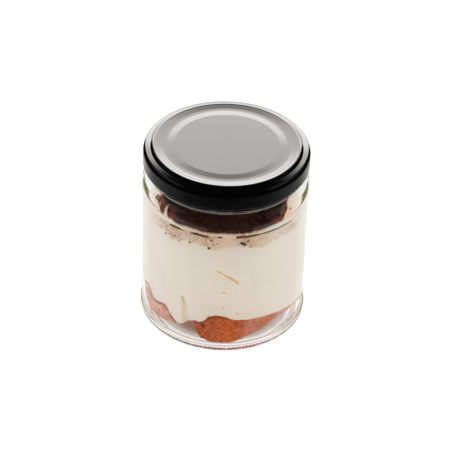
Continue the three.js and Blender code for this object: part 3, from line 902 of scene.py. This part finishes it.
def stain_and_fold_shade_weight(azimuth, height):
    """The stained band, paler above the streak at the sides, and painted shade in the creases and pockets of
    the folds, where the cream stands back from the glass.
    """
    band = STAIN_STRENGTH(azimuth) * smooth((height - STAIN_EDGE(azimuth) + 0.4) / 1.0)
    at_side = smooth((np.abs(wrapped(azimuth)) - 26) / 8)
    band = band * (1 - 0.75 * at_side * smooth((height - STREAK_HEIGHT - 0.4) / 0.6))
    depth = fold_depth(azimuth, height)
    # painted shade: the crease and the pocket of a fold are tanned as if in shadow
    painted_crease_shade = 0.35 * smooth(depth / 0.3) * smooth((height - 20) / 3) * smooth((30 - height) / 3)
    painted_pocket_shade = 0.35 * smooth(depth / 1.0) * smooth((24 - height) / 4)
    return np.maximum.reduce([band, painted_crease_shade, painted_pocket_shade])


def smudge_weight(azimuth, height):
    """Cocoa smudged between the stained band's edge and the streaks, and round the streaks."""
    edge = STAIN_EDGE(azimuth)
    band = smooth((height - edge - 0.3) / 1.6) * smooth((STREAK_HEIGHT + 0.3 - height) / 0.8)
    return np.maximum(SMUDGES(azimuth) * band, streak_halo(azimuth, height))


def streak_halo(azimuth, height):
    """Cocoa smeared thinly round the streaks."""
    halo = np.zeros(np.broadcast(azimuth, height).shape)
    for streak in COCOA_STREAKS:
        places, heights, widths = zip(*streak)
        turn = wrapped(azimuth) if places[0] < 100 else np.asarray(azimuth) % 360
        width = np.interp(turn, places, widths, left=0, right=0)
        away = np.abs(height - np.interp(turn, places, heights))
        halo = np.maximum(halo, smooth(width / 0.3) * smooth(1.3 - away / (width + 0.5)))
    return 0.9 * halo


def cream():
    azimuths = np.arange(0, 360, 0.6)
    sections = np.array([cream_section(a) for a in azimuths])
    r, z = sections[:, :, 0], sections[:, :, 1]
    near_wall = smooth((r - (CAVITY_RADIUS - 6)) / 4)
    sections[:, :, 0] -= fold_depth(azimuths[:, None], z) * near_wall
    piece = swept("cream_body", azimuths, sections, CREAM)
    a, r, z = vertex_places(piece)
    under_edge = smooth(cream_lower_edge(a) + 0.5 - z)
    # the stained band, with painted shade in the folds
    weights(piece, "stain_and_fold_shade", stain_and_fold_shade_weight(a, z))
    weights(piece, "blush", smudge_weight(a, z))
    weights(piece, "fringe", smooth((z - cream_top_edge(a) + 1.0) / 0.7))
    weights(piece, "soaked", under_edge * smooth((CAVITY_RADIUS - 0.8 - r) / 0.6))
    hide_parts("cream")


# ---- cocoa ----

COCOA_CONTACTS = [(-52, -46.9), (-43.4, 45.5), (138, 212)]
COCOA_SET_BACK = 1.5       # how far the cocoa stands back where cream lies between it and the glass


def cocoa_touches(azimuth):
    """1 where the cocoa lies against the glass, 0 where it doesn't."""
    touching = 0.0
    for start, stop in COCOA_CONTACTS:
        along = (azimuth - start) % 360
        touching = max(touching, smooth(min(along, stop - start - along) / 0.8 + 0.5))
    return touching


def cocoa_section(azimuth):
    """[radius, height] points of the cocoa at an azimuth, with a ragged lower edge."""
    x, y = math.sin(math.radians(azimuth)), math.cos(math.radians(azimuth))
    ragged = 0.25 * wobble(6 * x, 6 * y, 0.3)
    ragged += 0.2 * wobble(30 * x, 30 * y, 1.3)
    low = cream_top(azimuth, CAVITY_RADIUS) + ragged
    high = cocoa_top(azimuth, CAVITY_RADIUS)
    back = COCOA_SET_BACK * (1 - cocoa_touches(azimuth))
    touch = INTO_GLASS - 0.05 - back
    edge = cavity_radius(high) - 0.2 - back
    return [
        *[(r, cream_top(azimuth, r) - LAYER_OVERLAP) for r in np.linspace(0, CAVITY_RADIUS - 1, 8)],
        *[(cavity_radius(z) + touch, z) for z in np.linspace(low, high, 12)],
        *[(r, cocoa_top(azimuth, r)) for r in np.linspace(edge, 0, 60)],
    ]


def cocoa():
    azimuths = np.arange(0, 360, 0.75)
    sections = [cocoa_section(a) for a in azimuths]
    piece = swept("cocoa_layer", azimuths, sections, COCOA)
    for vertex in piece.data.vertices:
        co = vertex.co / MM
        out = math.hypot(co.x, co.y)
        if co.z > CREAM_TOP + 1.5 and out < CAVITY_RADIUS - 1:
            lumps = 0.22 * noise.fractal(co * 0.9, 0.9, 2.2, 4) + 0.35 * noise.noise(co * 0.22)
            vertex.co.z += MM * lumps * smooth((CAVITY_RADIUS - 1 - out) / 1.5)
    a, r, _ = vertex_places(piece)
    front_gap = smooth((a + 14) / 4) * smooth((22 - a) / 4)
    at_side = smooth((np.abs(a) - 34) / 8)
    weights(piece, "contact", smooth((r - CAVITY_RADIUS + 1.0) / 0.6) * (1 - front_gap))
    # painted light at the sides near the glass, over the rusty dusting
    weights(piece, "rust_and_side_light", smooth((r - CAVITY_RADIUS + 3.0) / 2.0) * at_side)
    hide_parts("cocoa")


# ---- ladyfingers ----

GLARE_AZIMUTHS = (10, 37)   # painted glare of the glass makes the front piece a little paler, and much paler, from here on
GLARE_LEFT = -60            # painted glare makes the left piece palest beyond this
CRATER = (-13.1, 12.4)     # azimuth and height of the crater in the front piece's tip
CRATER_SIZE = (1.7, 1.2)   # its half width in degrees and its half height
CRATER_DEPTH = 0.6
FINGER_SINK = 0.04         # how far a piece sinks into the floor


def crater_weight(azimuth, height):
    """1 in the middle of the crater in the sponge, 0 away from it."""
    away = np.hypot((azimuth - CRATER[0]) / CRATER_SIZE[0], (height - CRATER[1]) / CRATER_SIZE[1])
    return smooth(1.3 - away)


def ladyfinger_section(piece, azimuth):
    """[radius, height] points of a soaked piece, following the cream above and the floor below."""
    start, stop = ends_of(piece)
    closing = 1 - smooth(min(azimuth - start, stop - azimuth) / END_CLOSING)
    high = cream_underside(azimuth, CAVITY_RADIUS) + INTO_CREAM
    low = min(curve_through(piece["edge"])(azimuth), high - 1.0)
    inner = cream_span(azimuth)[0] + 1.5
    wall_low = cavity_radius(low)

    def bottom(r):
        lift = smooth((r - piece["foot"]) / (wall_low - piece["foot"]))
        floor = floor_height(r) - FINGER_SINK
        roof = cream_underside(azimuth, r) - LAYER_OVERLAP
        return max(mix(mix(floor, low, lift), roof, closing), floor)

    def top(r):
        return max(cream_underside(azimuth, r), bottom(r)) + INTO_CREAM

    return [
        *[(r, bottom(r)) for r in mix(inner, wall_low, np.linspace(0, 1, 34)[:-1])],
        *[(cavity_radius(z), z) for z in np.linspace(low, high, 30)],
        *[(r, top(r)) for r in mix(inner, CAVITY_RADIUS, np.linspace(0, 1, 12)[-2::-1])],
    ]


def roughened(co, normal):
    """Where a vertex of the sponge goes: lumpy and pitted, but flat on the glass and the floor."""
    rough = noise.fractal(co * 1.1, 0.8, 2.1, 4) - 0.25
    sunk = CRATER_DEPTH * crater_weight(math.degrees(math.atan2(co.x, -co.y)), co.z)
    moved = co + normal * (0.32 * rough + 0.3 * noise.noise(co * 0.35) - sunk)
    on_wall = math.hypot(co.x, co.y) > cavity_radius(co.z) - 0.02 and sunk < 0.05
    out = math.hypot(moved.x, moved.y)
    limit = cavity_radius(moved.z) + INTO_GLASS * 0.6
    if on_wall or out > limit:
        moved.x *= limit / out
        moved.y *= limit / out
    moved.z = max(moved.z, floor_height(min(out, CAVITY_RADIUS)) - FINGER_SINK)
    return moved


def glare_weight(name, azimuth):
    """How far painted glare of the glass pales a piece, by azimuth: the front one to its right, the left one
    all over.
    """
    if name == "ladyfinger_front":
        little, much = GLARE_AZIMUTHS
        return 0.28 * smooth((azimuth - little) / 12) + 0.72 * smooth((azimuth - much) / 16)
    if name == "ladyfinger_left":
        return 0.72 + 0.28 * smooth((GLARE_LEFT - azimuth) / 6)
    return np.zeros_like(azimuth)


def ladyfinger(piece):
    name = piece["name"]
    start, stop = ends_of(piece)
    azimuths = np.arange(start, stop + 0.01, 0.8)
    sections = [ladyfinger_section(piece, a) for a in azimuths]
    shape = swept(name + "_sponge", azimuths, sections, BISCUIT, full_turn=False)
    shape.data.update()
    normals = [v.normal.copy() for v in shape.data.vertices]
    for vertex, normal in zip(shape.data.vertices, normals):
        vertex.co = roughened(vertex.co / MM, normal) * MM
    shape.data.update()
    a, _, z = vertex_places(shape)
    darkness = 0.75 if name == "ladyfinger_left" else 0.85 * (1 - smooth((a + 1) / 10))
    # painted glare of the glass
    weights(shape, "painted_glare", glare_weight(name, a))
    weights(shape, "rim", darkness * smooth(1 - (cream_lower_edge(a) - z) / 1.3))
    # painted shade in the crater
    weights(shape, "crater_shade", crater_weight(a, z))
    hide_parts(name)


# ---- films of cream and rubbed cocoa on the glass over the cream's edge ----

# Stretches of the glass with a film of cream: the azimuths of its two ends by height, its upper
# edge by azimuth, and how far it is tanned by the cocoa, by azimuth.
SMEARS = [
    {
        "start": [(64, -152), (72, -146)],
        "stop": [
            (64.5, -49.5), (66.0, -49.9), (67.8, -52.4), (68.6, -55.6), (69.2, -58.6), (70.3, -57.5),
            (71.0, -55.8), (72.5, -53.0),
        ],
        "top": [(-152, 66.5), (-135, 69.0), (-112, 73.0), (-90, 74.4), (-72, 74.2), (-55, 73.4), (-45, 72.6)],
        "tan": [(-152, 0.3), (-120, 0.5), (-90, 0.05), (-70, 0.08), (-64, 0.3), (-55, 0.75)],
        "gap": 1.0,
    },
    {
        "start": [(64.5, -47.6), (67.0, -46.9), (69.5, -46.4)],
        "stop": [(64.5, -42.0), (67.0, -43.4), (68.6, -44.4), (70.2, -44.6)],
        "top": [(-48.0, 68.4), (-46.0, 69.3), (-44.8, 69.9), (-43.8, 69.2), (-42.0, 67.6)],
        "tan": [(-48.0, 0.2), (-46.0, 0.3), (-44.0, 0.75), (-42.0, 0.9)],
        "gap": 0.0,
    },
    {
        "start": [
            (64.5, 43.5), (66.2, 44.5), (67.3, 46.0), (69.0, 49.5), (70.3, 50.8), (71.5, 54.0), (72.5, 55.0),
        ],
        "stop": [(64, 140), (72, 146)],
        "top": [(44, 72.0), (54, 73.4), (62, 73.8), (80, 74.6), (104, 73.0), (122, 70.5), (146, 66.4)],
        "tan": [(44, 1.0), (53, 0.95), (58, 0.6), (64, 0.25), (72, 0.08), (100, 0.1), (120, 0.5), (142, 0.3)],
        "gap": 1.0,
    },
]
FILM_ROWS = 36
FILM_COLUMN = 0.35         # about how many degrees apart the columns of a film are
FILM_LEVEL = 68            # height at which the length of a film is measured
FILM_THICKNESS = 0.35
FILM_EDGE = 0.04           # thickness of its ends
GAP_DEPTH = 0.5            # the film stands off the glass where the shoulder bends in
GAP_BOTTOM = 66.2
GAP_TOP = 68.9

RUBBED_REACH = (0.16, -0.12)  # how far its two sides lie beyond the wall
# Cocoa rubbed on the glass above the ends of the cocoa layer: rows of (height, first azimuth, last
# azimuth).
RUST_PATCHES = [
    [
        (66.8, -51.5, -44.5), (67.6, -52.5, -44.2), (68.4, -55.0, -44.0), (69.2, -57.0, -45.5),
        (69.9, -57.5, -48.0), (70.6, -56.5, -51.5), (71.1, -55.5, -54.0),
    ],
    [
        (66.4, 42.0, 45.5), (67.2, 41.5, 46.5), (68.2, 42.0, 48.5), (69.3, 43.5, 50.5), (70.4, 46.0, 51.5),
        (71.2, 49.0, 51.0),
    ],
]


def film_edges(smear, height):
    """Outer and inner radius of a film: off the glass in the gap, thicker towards its foot."""
    wall = cavity_radius(height)
    gap = smear["gap"] * GAP_DEPTH * smooth((height - GAP_BOTTOM) / 0.5) * smooth((GAP_TOP - height) / 0.5)
    foot = smooth((GAP_TOP - height) / 1.5)
    outer = wall + INTO_GLASS + 0.05 - gap * (1 + INTO_GLASS / GAP_DEPTH)
    return outer, wall - gap - mix(FILM_THICKNESS, 3 * FILM_THICKNESS, foot * smear["gap"])


def sheet_ring(outer, inner):
    """A closed ring of vertices: the (azimuth, radius, height) places of outer, then back along
    those of inner."""
    return [wall_point(*place) for place in [*zip(*outer), *list(zip(*inner))[::-1]]]


def film(number, smear):
    """A film of cream on the glass between its two ragged ends."""
    start_at, stop_at, top_at, tan_at = (curve_through(smear[key]) for key in ("start", "stop", "top", "tan"))
    middle_start, middle_stop = start_at(FILM_LEVEL), stop_at(FILM_LEVEL)
    columns = max(24, int((middle_stop - middle_start) / FILM_COLUMN))
    vertices = []
    for share in np.linspace(0, 1, columns + 1):
        nominal = mix(middle_start, middle_stop, share)
        ragged = 0.5 * wobble(nominal * 0.55, 0.4, 3.1) + 0.3 * wobble(nominal * 1.9, 2.0, 0.2)
        low = cream_top(nominal, CAVITY_RADIUS) - 0.8
        heights = np.linspace(low, top_at(nominal) + ragged, FILM_ROWS)
        torn = 0.5 * np.array([wobble(z * 1.4, number * 7.0, 0.5) for z in heights])
        azimuths = mix(start_at(heights) + torn, stop_at(heights) - torn, share)
        outer, inner = film_edges(smear, heights)
        close = smooth(min(share, 1 - share) * columns / 3)
        inner = mix(outer - FILM_EDGE, inner, close)
        vertices += sheet_ring((azimuths, outer, heights), (azimuths, inner, heights))
    faces = grid_faces(columns + 1, 2 * FILM_ROWS)
    piece = mesh_piece(f"cream_smear_{number}", vertices, faces, CREAM)
    merge_close(piece)
    a, _, z = vertex_places(piece)
    a = a % 360 if middle_start > 0 else a
    tan = np.clip(tan_at(a), 0, 1)
    beside = np.minimum(np.abs(a - start_at(z)), np.abs(a - stop_at(z)))
    cocoa_side = smooth((tan - 0.2) / 0.3)
    weights(piece, "stain_and_fold_shade", tan)
    weights(piece, "blush", 0.9 * smooth(1 - beside / 2.6) * cocoa_side)
    weights(piece, "fringe", smooth(1.3 - beside / 1.1) * cocoa_side)
    # painted light: the untanned film is painted whiter, partly its own pale cream, partly the light shining
    # through it
    weights(piece, "milky_and_lit", 1 - smooth(tan / 0.25))


def rust_patch(number, rows):
    """A thin ragged patch of rubbed cocoa on the inside of the glass."""
    heights, firsts, lasts = zip(*rows)
    first_at, last_at = (curve_through(list(zip(heights, turns))) for turns in (firsts, lasts))
    outer, inner = RUBBED_REACH
    columns = 40
    levels = np.linspace(heights[0], heights[-1], 30)
    vertices = []
    for z in levels:
        ragged = 0.9 * wobble(z * 2.1, number * 3.0, 0.0)
        turns = np.linspace(first_at(z) + ragged, last_at(z) - ragged, columns)
        wall = np.full(columns, cavity_radius(z))
        level = np.full(columns, z)
        vertices += sheet_ring((turns, wall + outer, level), (turns, wall + inner, level))
    faces = grid_faces(len(levels), 2 * columns)
    merge_close(mesh_piece(f"cocoa_smear_{number}", vertices, faces, RUBBED))


# ---- thin streaks pressed between the cream and the glass ----

# Lines of (azimuth, height), with the half width of the streak at each point.
COCOA_STREAKS = [
    [(-43.5, 61.9, 0.1), (-38.8, 62.5, 0.3), (-34.1, 62.6, 0.3), (-31.0, 62.3, 0.16), (-27.0, 62.3, 0.06)],
    [(-24.5, 62.3, 0.16), (-19.5, 62.5, 0.42), (-15.1, 62.1, 0.5), (-11.5, 62.0, 0.45), (-7.5, 61.9, 0.12)],
    [(-5.4, 62.4, 0.1), (-3.0, 62.5, 0.16), (-1.0, 62.5, 0.08)],
    [
        (8.5, 62.5, 0.14), (10.5, 62.5, 0.5), (14.7, 62.3, 0.45), (20.3, 62.3, 0.36), (26.0, 62.3, 0.2),
        (33.0, 62.5, 0.1),
    ],
    [(33.0, 62.5, 0.12), (41.0, 62.6, 0.1), (47.0, 62.5, 0.08), (54.5, 62.3, 0.07)],
    [(142.0, 62.4, 0.1), (152.0, 62.2, 0.45), (163.0, 62.4, 0.2)],
    [(196.0, 62.3, 0.15), (207.0, 62.5, 0.4), (221.0, 62.2, 0.1)],
]
CARAMEL_STREAKS = [
    [
        (-5.2, 44.6, 0.1), (-2.5, 43.3, 0.28), (0.5, 42.2, 0.2), (4.0, 40.6, 0.5), (8.0, 39.0, 0.5),
        (11.4, 37.0, 0.42), (12.0, 36.4, 0.15),
    ],
    [(-30.0, 26.0, 0.08), (-28.9, 24.4, 0.26), (-28.2, 22.8, 0.14), (-27.9, 21.6, 0.05)],
]
STREAK_STEP = 0.25
STREAK_REACH = (0.22, -0.1)  # how far its two sides lie beyond the wall


def along_streak(points):
    """The streak in steps of about STREAK_STEP."""
    samples = []
    for start, stop in zip(points, points[1:]):
        length = math.hypot((stop[0] - start[0]) * PER_DEGREE, stop[1] - start[1])
        samples += line(start, stop, max(2, int(length / STREAK_STEP)))
    return [*samples, points[-1]]


def ribbon(points):
    """Vertices and faces of a thin streak on the inside of the glass, ragged at its edges."""
    samples = along_streak(points)
    vertices = []
    for i, (a, z, w) in enumerate(samples):
        before, after = samples[max(i - 1, 0)], samples[min(i + 1, len(samples) - 1)]
        along = Vector(((after[0] - before[0]) * PER_DEGREE, after[1] - before[1])).normalized()
        upper, lower = (1.3 * w * (1 + 0.7 * wobble(a * 0.9, z, seed)) for seed in (0.7, 5.7))
        outer, inner = STREAK_REACH
        for offset, lift in ((upper, outer), (-lower, outer), (-lower, inner), (upper, inner)):
            height = z + along.x * offset
            azimuth = a - along.y * offset / PER_DEGREE
            vertices.append(wall_point(azimuth, cavity_radius(height) + lift, height))
    return vertices, grid_faces(len(samples), 4)


# ---- flecks between the cream and the glass ----

FLECK_SIDES = 9
# Crumbs and dots: azimuth, height, length, width and tilt in degrees.
COCOA_CRUMBS = [
    (-10.3, 55.9, 1.5, 1.4, 20), (-24.5, 56.9, 1.3, 1.0, 10), (13.6, 58.6, 3.2, 1.7, -35),
    (17.1, 59.8, 1.7, 1.0, 60), (-45.3, 56.0, 1.2, 1.0, 30), (21.0, 59.2, 0.9, 0.6, 0),
    (-36.5, 57.6, 1.4, 0.7, -35), (-33.5, 55.6, 1.1, 0.6, -30), (-9.0, 60.2, 1.3, 0.8, 50),
    (-55.6, 71.0, 0.9, 0.7, 30), (53.0, 68.2, 1.5, 0.6, 55), (-7.3, 57.9, 0.7, 0.5, 0),
]
CARAMEL_DOTS = [
    (1.3, 32.2, 1.6, 1.2, -20), (1.3, 23.6, 1.2, 0.7, -20), (11.2, 20.0, 1.4, 0.9, 0),
    (10.5, 33.7, 0.9, 0.6, 20), (17.4, 28.4, 0.5, 0.5, 0), (1.1, 29.2, 0.35, 0.35, 0),
    (17.6, 25.6, 0.5, 0.45, 0),
]
# Where reddish specks of cocoa gather: middle azimuth, spread, how many.
SPECK_CLUSTERS = [
    (-44, 6, 90), (-30, 8, 70), (-17, 5, 60), (-9, 3, 60), (15, 4, 70), (24, 6, 40), (50, 8, 30),
    (150, 20, 90), (205, 20, 90),
]


def fleck(azimuth, height, length, width, tilt, radius=CAVITY_RADIUS + 0.1):
    """Vertices and faces of a flat rounded crumb pressed to the glass."""
    a, t = math.radians(azimuth), math.radians(tilt)
    across = Vector((math.cos(a), math.sin(a), 0))
    outwards = Vector((math.sin(a), -math.cos(a), 0))
    up = Vector((0, 0, 1))
    long_axis = across * math.cos(t) + up * math.sin(t)
    short_axis = up * math.cos(t) - across * math.sin(t)
    centre = wall_point(azimuth, radius, height)
    rng = random.Random(int(1000 * (azimuth + 400) + 10 * height))
    reach = [rng.uniform(0.75, 1.15) for _ in range(FLECK_SIDES)]
    vertices = []
    for lift, part in ((-0.12, 0.6), (0.1, 1.0), (0.14, 0.55)):
        for k in range(FLECK_SIDES):
            angle = 2 * math.pi * k / FLECK_SIDES
            flat = long_axis * (length / 2 * math.cos(angle)) + short_axis * (width / 2 * math.sin(angle))
            vertices.append(centre + flat * (part * reach[k]) + outwards * lift)
    return vertices, grid_faces(3, FLECK_SIDES)


def specks():
    """Specks scattered in the stained band, thickest near the streaks."""
    rng = random.Random(11)
    parts = []
    for middle, spread, count in SPECK_CLUSTERS:
        for _ in range(count):
            azimuth = rng.gauss(middle, spread)
            edge = STAIN_EDGE(azimuth)
            height = mix(STREAK_HEIGHT + 0.5, edge, rng.random() ** 1.3)
            size = rng.uniform(0.14, 0.46) * rng.uniform(0.6, 1.2)
            parts.append(fleck(azimuth, height, size * rng.uniform(1, 1.8), size, rng.uniform(0, 180)))
    return parts


def cocoa_flecks():
    dark = fleck_material("cocoa_crumb", (0.050, 0.017, 0.010), (0.19, 0.065, 0.036))
    reddish = fleck_material("cocoa_speck", (0.20, 0.048, 0.020), (0.42, 0.14, 0.07))
    crumbs = [fleck(*crumb, radius=cavity_radius(crumb[1]) + 0.12) for crumb in COCOA_CRUMBS]
    join_parts("cocoa_crumbs", crumbs + [ribbon(streak) for streak in COCOA_STREAKS], dark)
    join_parts("cocoa_specks", specks(), reddish)


def caramel_dots():
    tan = fleck_material("cream_dot", (0.76, 0.53, 0.31), (0.72, 0.42, 0.20))
    parts = [fleck(*dot) for dot in CARAMEL_DOTS] + [ribbon(streak) for streak in CARAMEL_STREAKS]
    join_parts("cream_dots", parts, tan)


# ---- stage: floor, light and camera ----

CAMERA_DISTANCE = 1.055775
CAMERA_ELEVATION = 36.285
CAMERA_ROLL = 1.905
CAMERA_TARGET = Vector((0, 0, 0.042))
FRAME_PIXELS = 452
FOCAL_PIXELS = 2359.564
TARGET_PIXEL = (224.359, 226.854)
SENSOR = 36


def make_camera():
    data = bpy.data.cameras.new("camera")
    data.sensor_width = SENSOR
    data.lens = FOCAL_PIXELS / FRAME_PIXELS * SENSOR
    data.shift_x = (FRAME_PIXELS / 2 - TARGET_PIXEL[0]) / FRAME_PIXELS
    data.shift_y = (TARGET_PIXEL[1] - FRAME_PIXELS / 2) / FRAME_PIXELS
    data.clip_start = 0.01
    data.clip_end = 50
    camera = bpy.data.objects.new("camera", data)
    bpy.context.scene.collection.objects.link(camera)
    elevation = math.radians(CAMERA_ELEVATION)
    back = Vector((0, -math.cos(elevation), math.sin(elevation)))
    right = Vector((1, 0, 0))
    up = back.cross(right)
    turn = Matrix.Rotation(math.radians(CAMERA_ROLL), 3, back)
    axes = Matrix((turn @ right, turn @ up, back)).transposed()
    camera.matrix_world = Matrix.Translation(CAMERA_TARGET + back * CAMERA_DISTANCE) @ axes.to_4x4()
    bpy.context.scene.camera = camera


def flat_stage(name, outline, height, material):
    """A flat stage surface at a height in metres, its outline in metres too."""
    mesh = bpy.data.meshes.new(name)
    mesh.from_pydata([(x, y, 0) for x, y in outline], [], [tuple(range(len(outline)))])
    mesh.materials.append(material)
    stage = bpy.data.objects.new(name, mesh)
    bpy.context.scene.collection.objects.link(stage)
    stage.location.z = height
    return stage


def make_floor():
    """The table. What mirrors or bends light sees the surroundings in its place."""
    corners = [(x * TABLE_HALF, y * TABLE_HALF) for x, y in ((-1, -1), (1, -1), (1, 1), (-1, 1))]
    floor = flat_stage("floor", corners, -0.0002, table_material())
    floor.visible_glossy = False
    floor.visible_transmission = False
    turns = np.radians(np.arange(0, 360, 4))
    rim = [(DISC_RADIUS * MM * math.cos(t), DISC_RADIUS * MM * math.sin(t)) for t in turns]
    flat_stage("floor_under_jar", rim, -0.00005, under_jar_material())


class Surroundings(Nodes):
    """The world's nodes, with the direction looked in as elevation and turn off the back."""

    def __init__(self):
        world = bpy.data.worlds.new("studio")
        bpy.context.scene.world = world
        world.use_nodes = True
        world.cycles.sampling_method = "NONE"
        super().__init__(world.node_tree)
        self.tree.nodes.clear()
        direction = self.node("SeparateXYZ")
        self.feed(direction.inputs[0], self.node("TexCoord").outputs["Generated"])
        x, y, z = direction.outputs
        self.elevation = self.times(self.maths("ARCSINE", z), 180 / math.pi)
        self.aside = self.maths("ABSOLUTE", self.times(self.maths("ARCTAN2", x, y), 180 / math.pi))

    def stops(self, source, low, high, stops):
        """A value read off stops of (position, value) between low and high."""
        top = max(value for _, value in stops)
        places = [(position - low) / (high - low) for position, _ in stops]
        share = self.node("MapRange", Value=source, From_Min=low, From_Max=high)
        ramp = self.node("ValToRGB", Fac=share.outputs["Result"])
        elements = ramp.color_ramp.elements
        elements.remove(elements[1])
        elements[0].position = places[0]
        for place in places[1:]:
            elements.new(place)
        for element, (_, value) in zip(elements, stops):
            element.color = (*[value / top] * 3, 1)
        return self.times(ramp.outputs["Color"], top)

    def rise(self, stops):
        return self.stops(self.elevation, -90, 90, stops)

    def turn(self, stops):
        return self.stops(self.aside, 0, 180, stops)

    def depth(self, kind):
        """1 where the light has been scattered, mirrored or bent before, and else 0."""
        return self.maths("MINIMUM", self.node("LightPath").outputs[kind + " Depth"], 1.0)


# Brightness by elevation straight behind the jar, where a lit screen stands, in degrees.
SCREEN = [
    (-21, 0.0), (-20, 3.0), (12, 3.2), (24, 8.6), (31, 8.6), (34, 6.0), (38, 5.8), (41, 3.4), (43, 2.0),
    (45.5, 0.4), (48, 0.0),
]
SCREEN_TURN = [(27, 1.0), (30, 0.0)]
# Brightness of the lit table as it is mirrored, by turn away from the screen.
TABLE_TURN = [(0, 0.9), (34, 0.88), (48, 0.75), (58, 0.5), (95, 0.27), (130, 0.10), (180, 0.05)]
TABLE_EDGE = [(-31, 1.0), (-22, 0.0)]
# A dim reflector at each side.
SIDE_TURN = [(50, 0.0), (62, 0.4), (110, 0.4), (125, 0.0)]
SIDE_RISE = [(8, 0.0), (16, 1.0), (40, 1.0), (52, 0.0)]
# What the insides of the glass mirror: the table near the jar, the bright surroundings behind and
# beside it, with a dark olive stretch low between them, and nothing on the camera's side.
NEAR_TABLE = [(-52, 1.0), (-42, 0.0)]
AROUND_TURN = [(0, 1.05), (66, 1.05), (76, 0.5), (84, 0.22), (110, 0.04), (180, 0.02)]
AROUND_RISE = [(-24, 1.1), (-22, 0.9), (20, 0.9), (45, 0.6), (55, 0.1)]
OLIVE_TURN = [(0, 0.0), (16, 0.0), (21, 1.0), (52, 1.0), (57, 0.0)]
OLIVE_RISE = [(-36, 0.0), (-34, 1.0), (-20, 1.0), (-17, 0.0)]
OLIVE = (0.15, 0.10, 0.005)
# What light sees that the glass only bends: the bright table, and a dim room above it.
BEYOND_RISE = [(-31, 1.0), (-25, 0.3)]
# Soft light that falls on what doesn't mirror, by turn away from the screen: strong and white from
# both sides, weaker and warmer from the camera's side.
SOFT_TURN = [(0, 0.3), (40, 0.4), (75, 1.0), (100, 1.0), (140, 0.25), (180, 0.0)]
SOFT_SIDE = (1.98, 2.14, 2.38)
SOFT_FRONT = (1.19, 1.09, 0.95)
MIRRORED_TINT = (1.0, 0.99, 0.965)
WHITE = (1, 1, 1)


def mirrored_strength(world):
    """The surroundings as the outside of the jar and the lid mirror them."""
    screen = world.times(world.rise(SCREEN), world.turn(SCREEN_TURN))
    table = world.times(world.turn(TABLE_TURN), world.rise(TABLE_EDGE))
    side = world.times(world.turn(SIDE_TURN), world.rise(SIDE_RISE))
    return world.maths("ADD", world.maths("MAXIMUM", screen, table), side)


def inside_strength(world):
    """The surroundings as light sees them that was mirrored inside the glass."""
    around = world.times(world.turn(AROUND_TURN), world.rise(AROUND_RISE))
    return world.maths("MAXIMUM", around, world.rise(NEAR_TABLE))


def make_world():
    """Surroundings that depend on what the light has met: see the tables above."""
    world = Surroundings()
    mirrored, scattered, entered = (world.depth(kind) for kind in ("Glossy", "Diffuse", "Transmission"))
    olive = world.times(world.turn(OLIVE_TURN), entered, world.rise(OLIVE_RISE))
    tint = world.blend(olive, MIRRORED_TINT, OLIVE)
    soft = world.blend(world.turn(SOFT_TURN), SOFT_FRONT, SOFT_SIDE)
    reflected = world.blend(entered, mirrored_strength(world), inside_strength(world), "FLOAT")
    direct = world.blend(entered, 1.0, world.rise(BEYOND_RISE), "FLOAT")
    strength = world.blend(mirrored, direct, reflected, "FLOAT")
    background = world.node(
        "Background",
        Color=world.layered(WHITE, (mirrored, tint), (scattered, soft)),
        Strength=world.blend(scattered, strength, 1.0, "FLOAT"),
    )
    world.node("OutputWorld", Surface=background.outputs[0])


def settings():
    """Colours as they are, and enough bounces for glass behind glass."""
    scene = bpy.context.scene
    scene.view_settings.view_transform = "Standard"
    scene.view_settings.look = "None"
    cycles = scene.cycles
    cycles.use_denoising = True
    cycles.max_bounces = 48
    cycles.transmission_bounces = 24
    cycles.glossy_bounces = 40
    cycles.diffuse_bounces = 5
    cycles.blur_glossy = 0.3
    cycles.caustics_reflective = True
    cycles.caustics_refractive = True


make_camera()
make_floor()
make_world()
settings()
glass_jar()
lid()
cream()
cocoa()
for finger in LADYFINGERS:
    ladyfinger(finger)
for place, smear in enumerate(SMEARS, start=1):
    film(place, smear)
for place, patch in enumerate(RUST_PATCHES, start=1):
    rust_patch(place, patch)
cocoa_flecks()
caramel_dots()
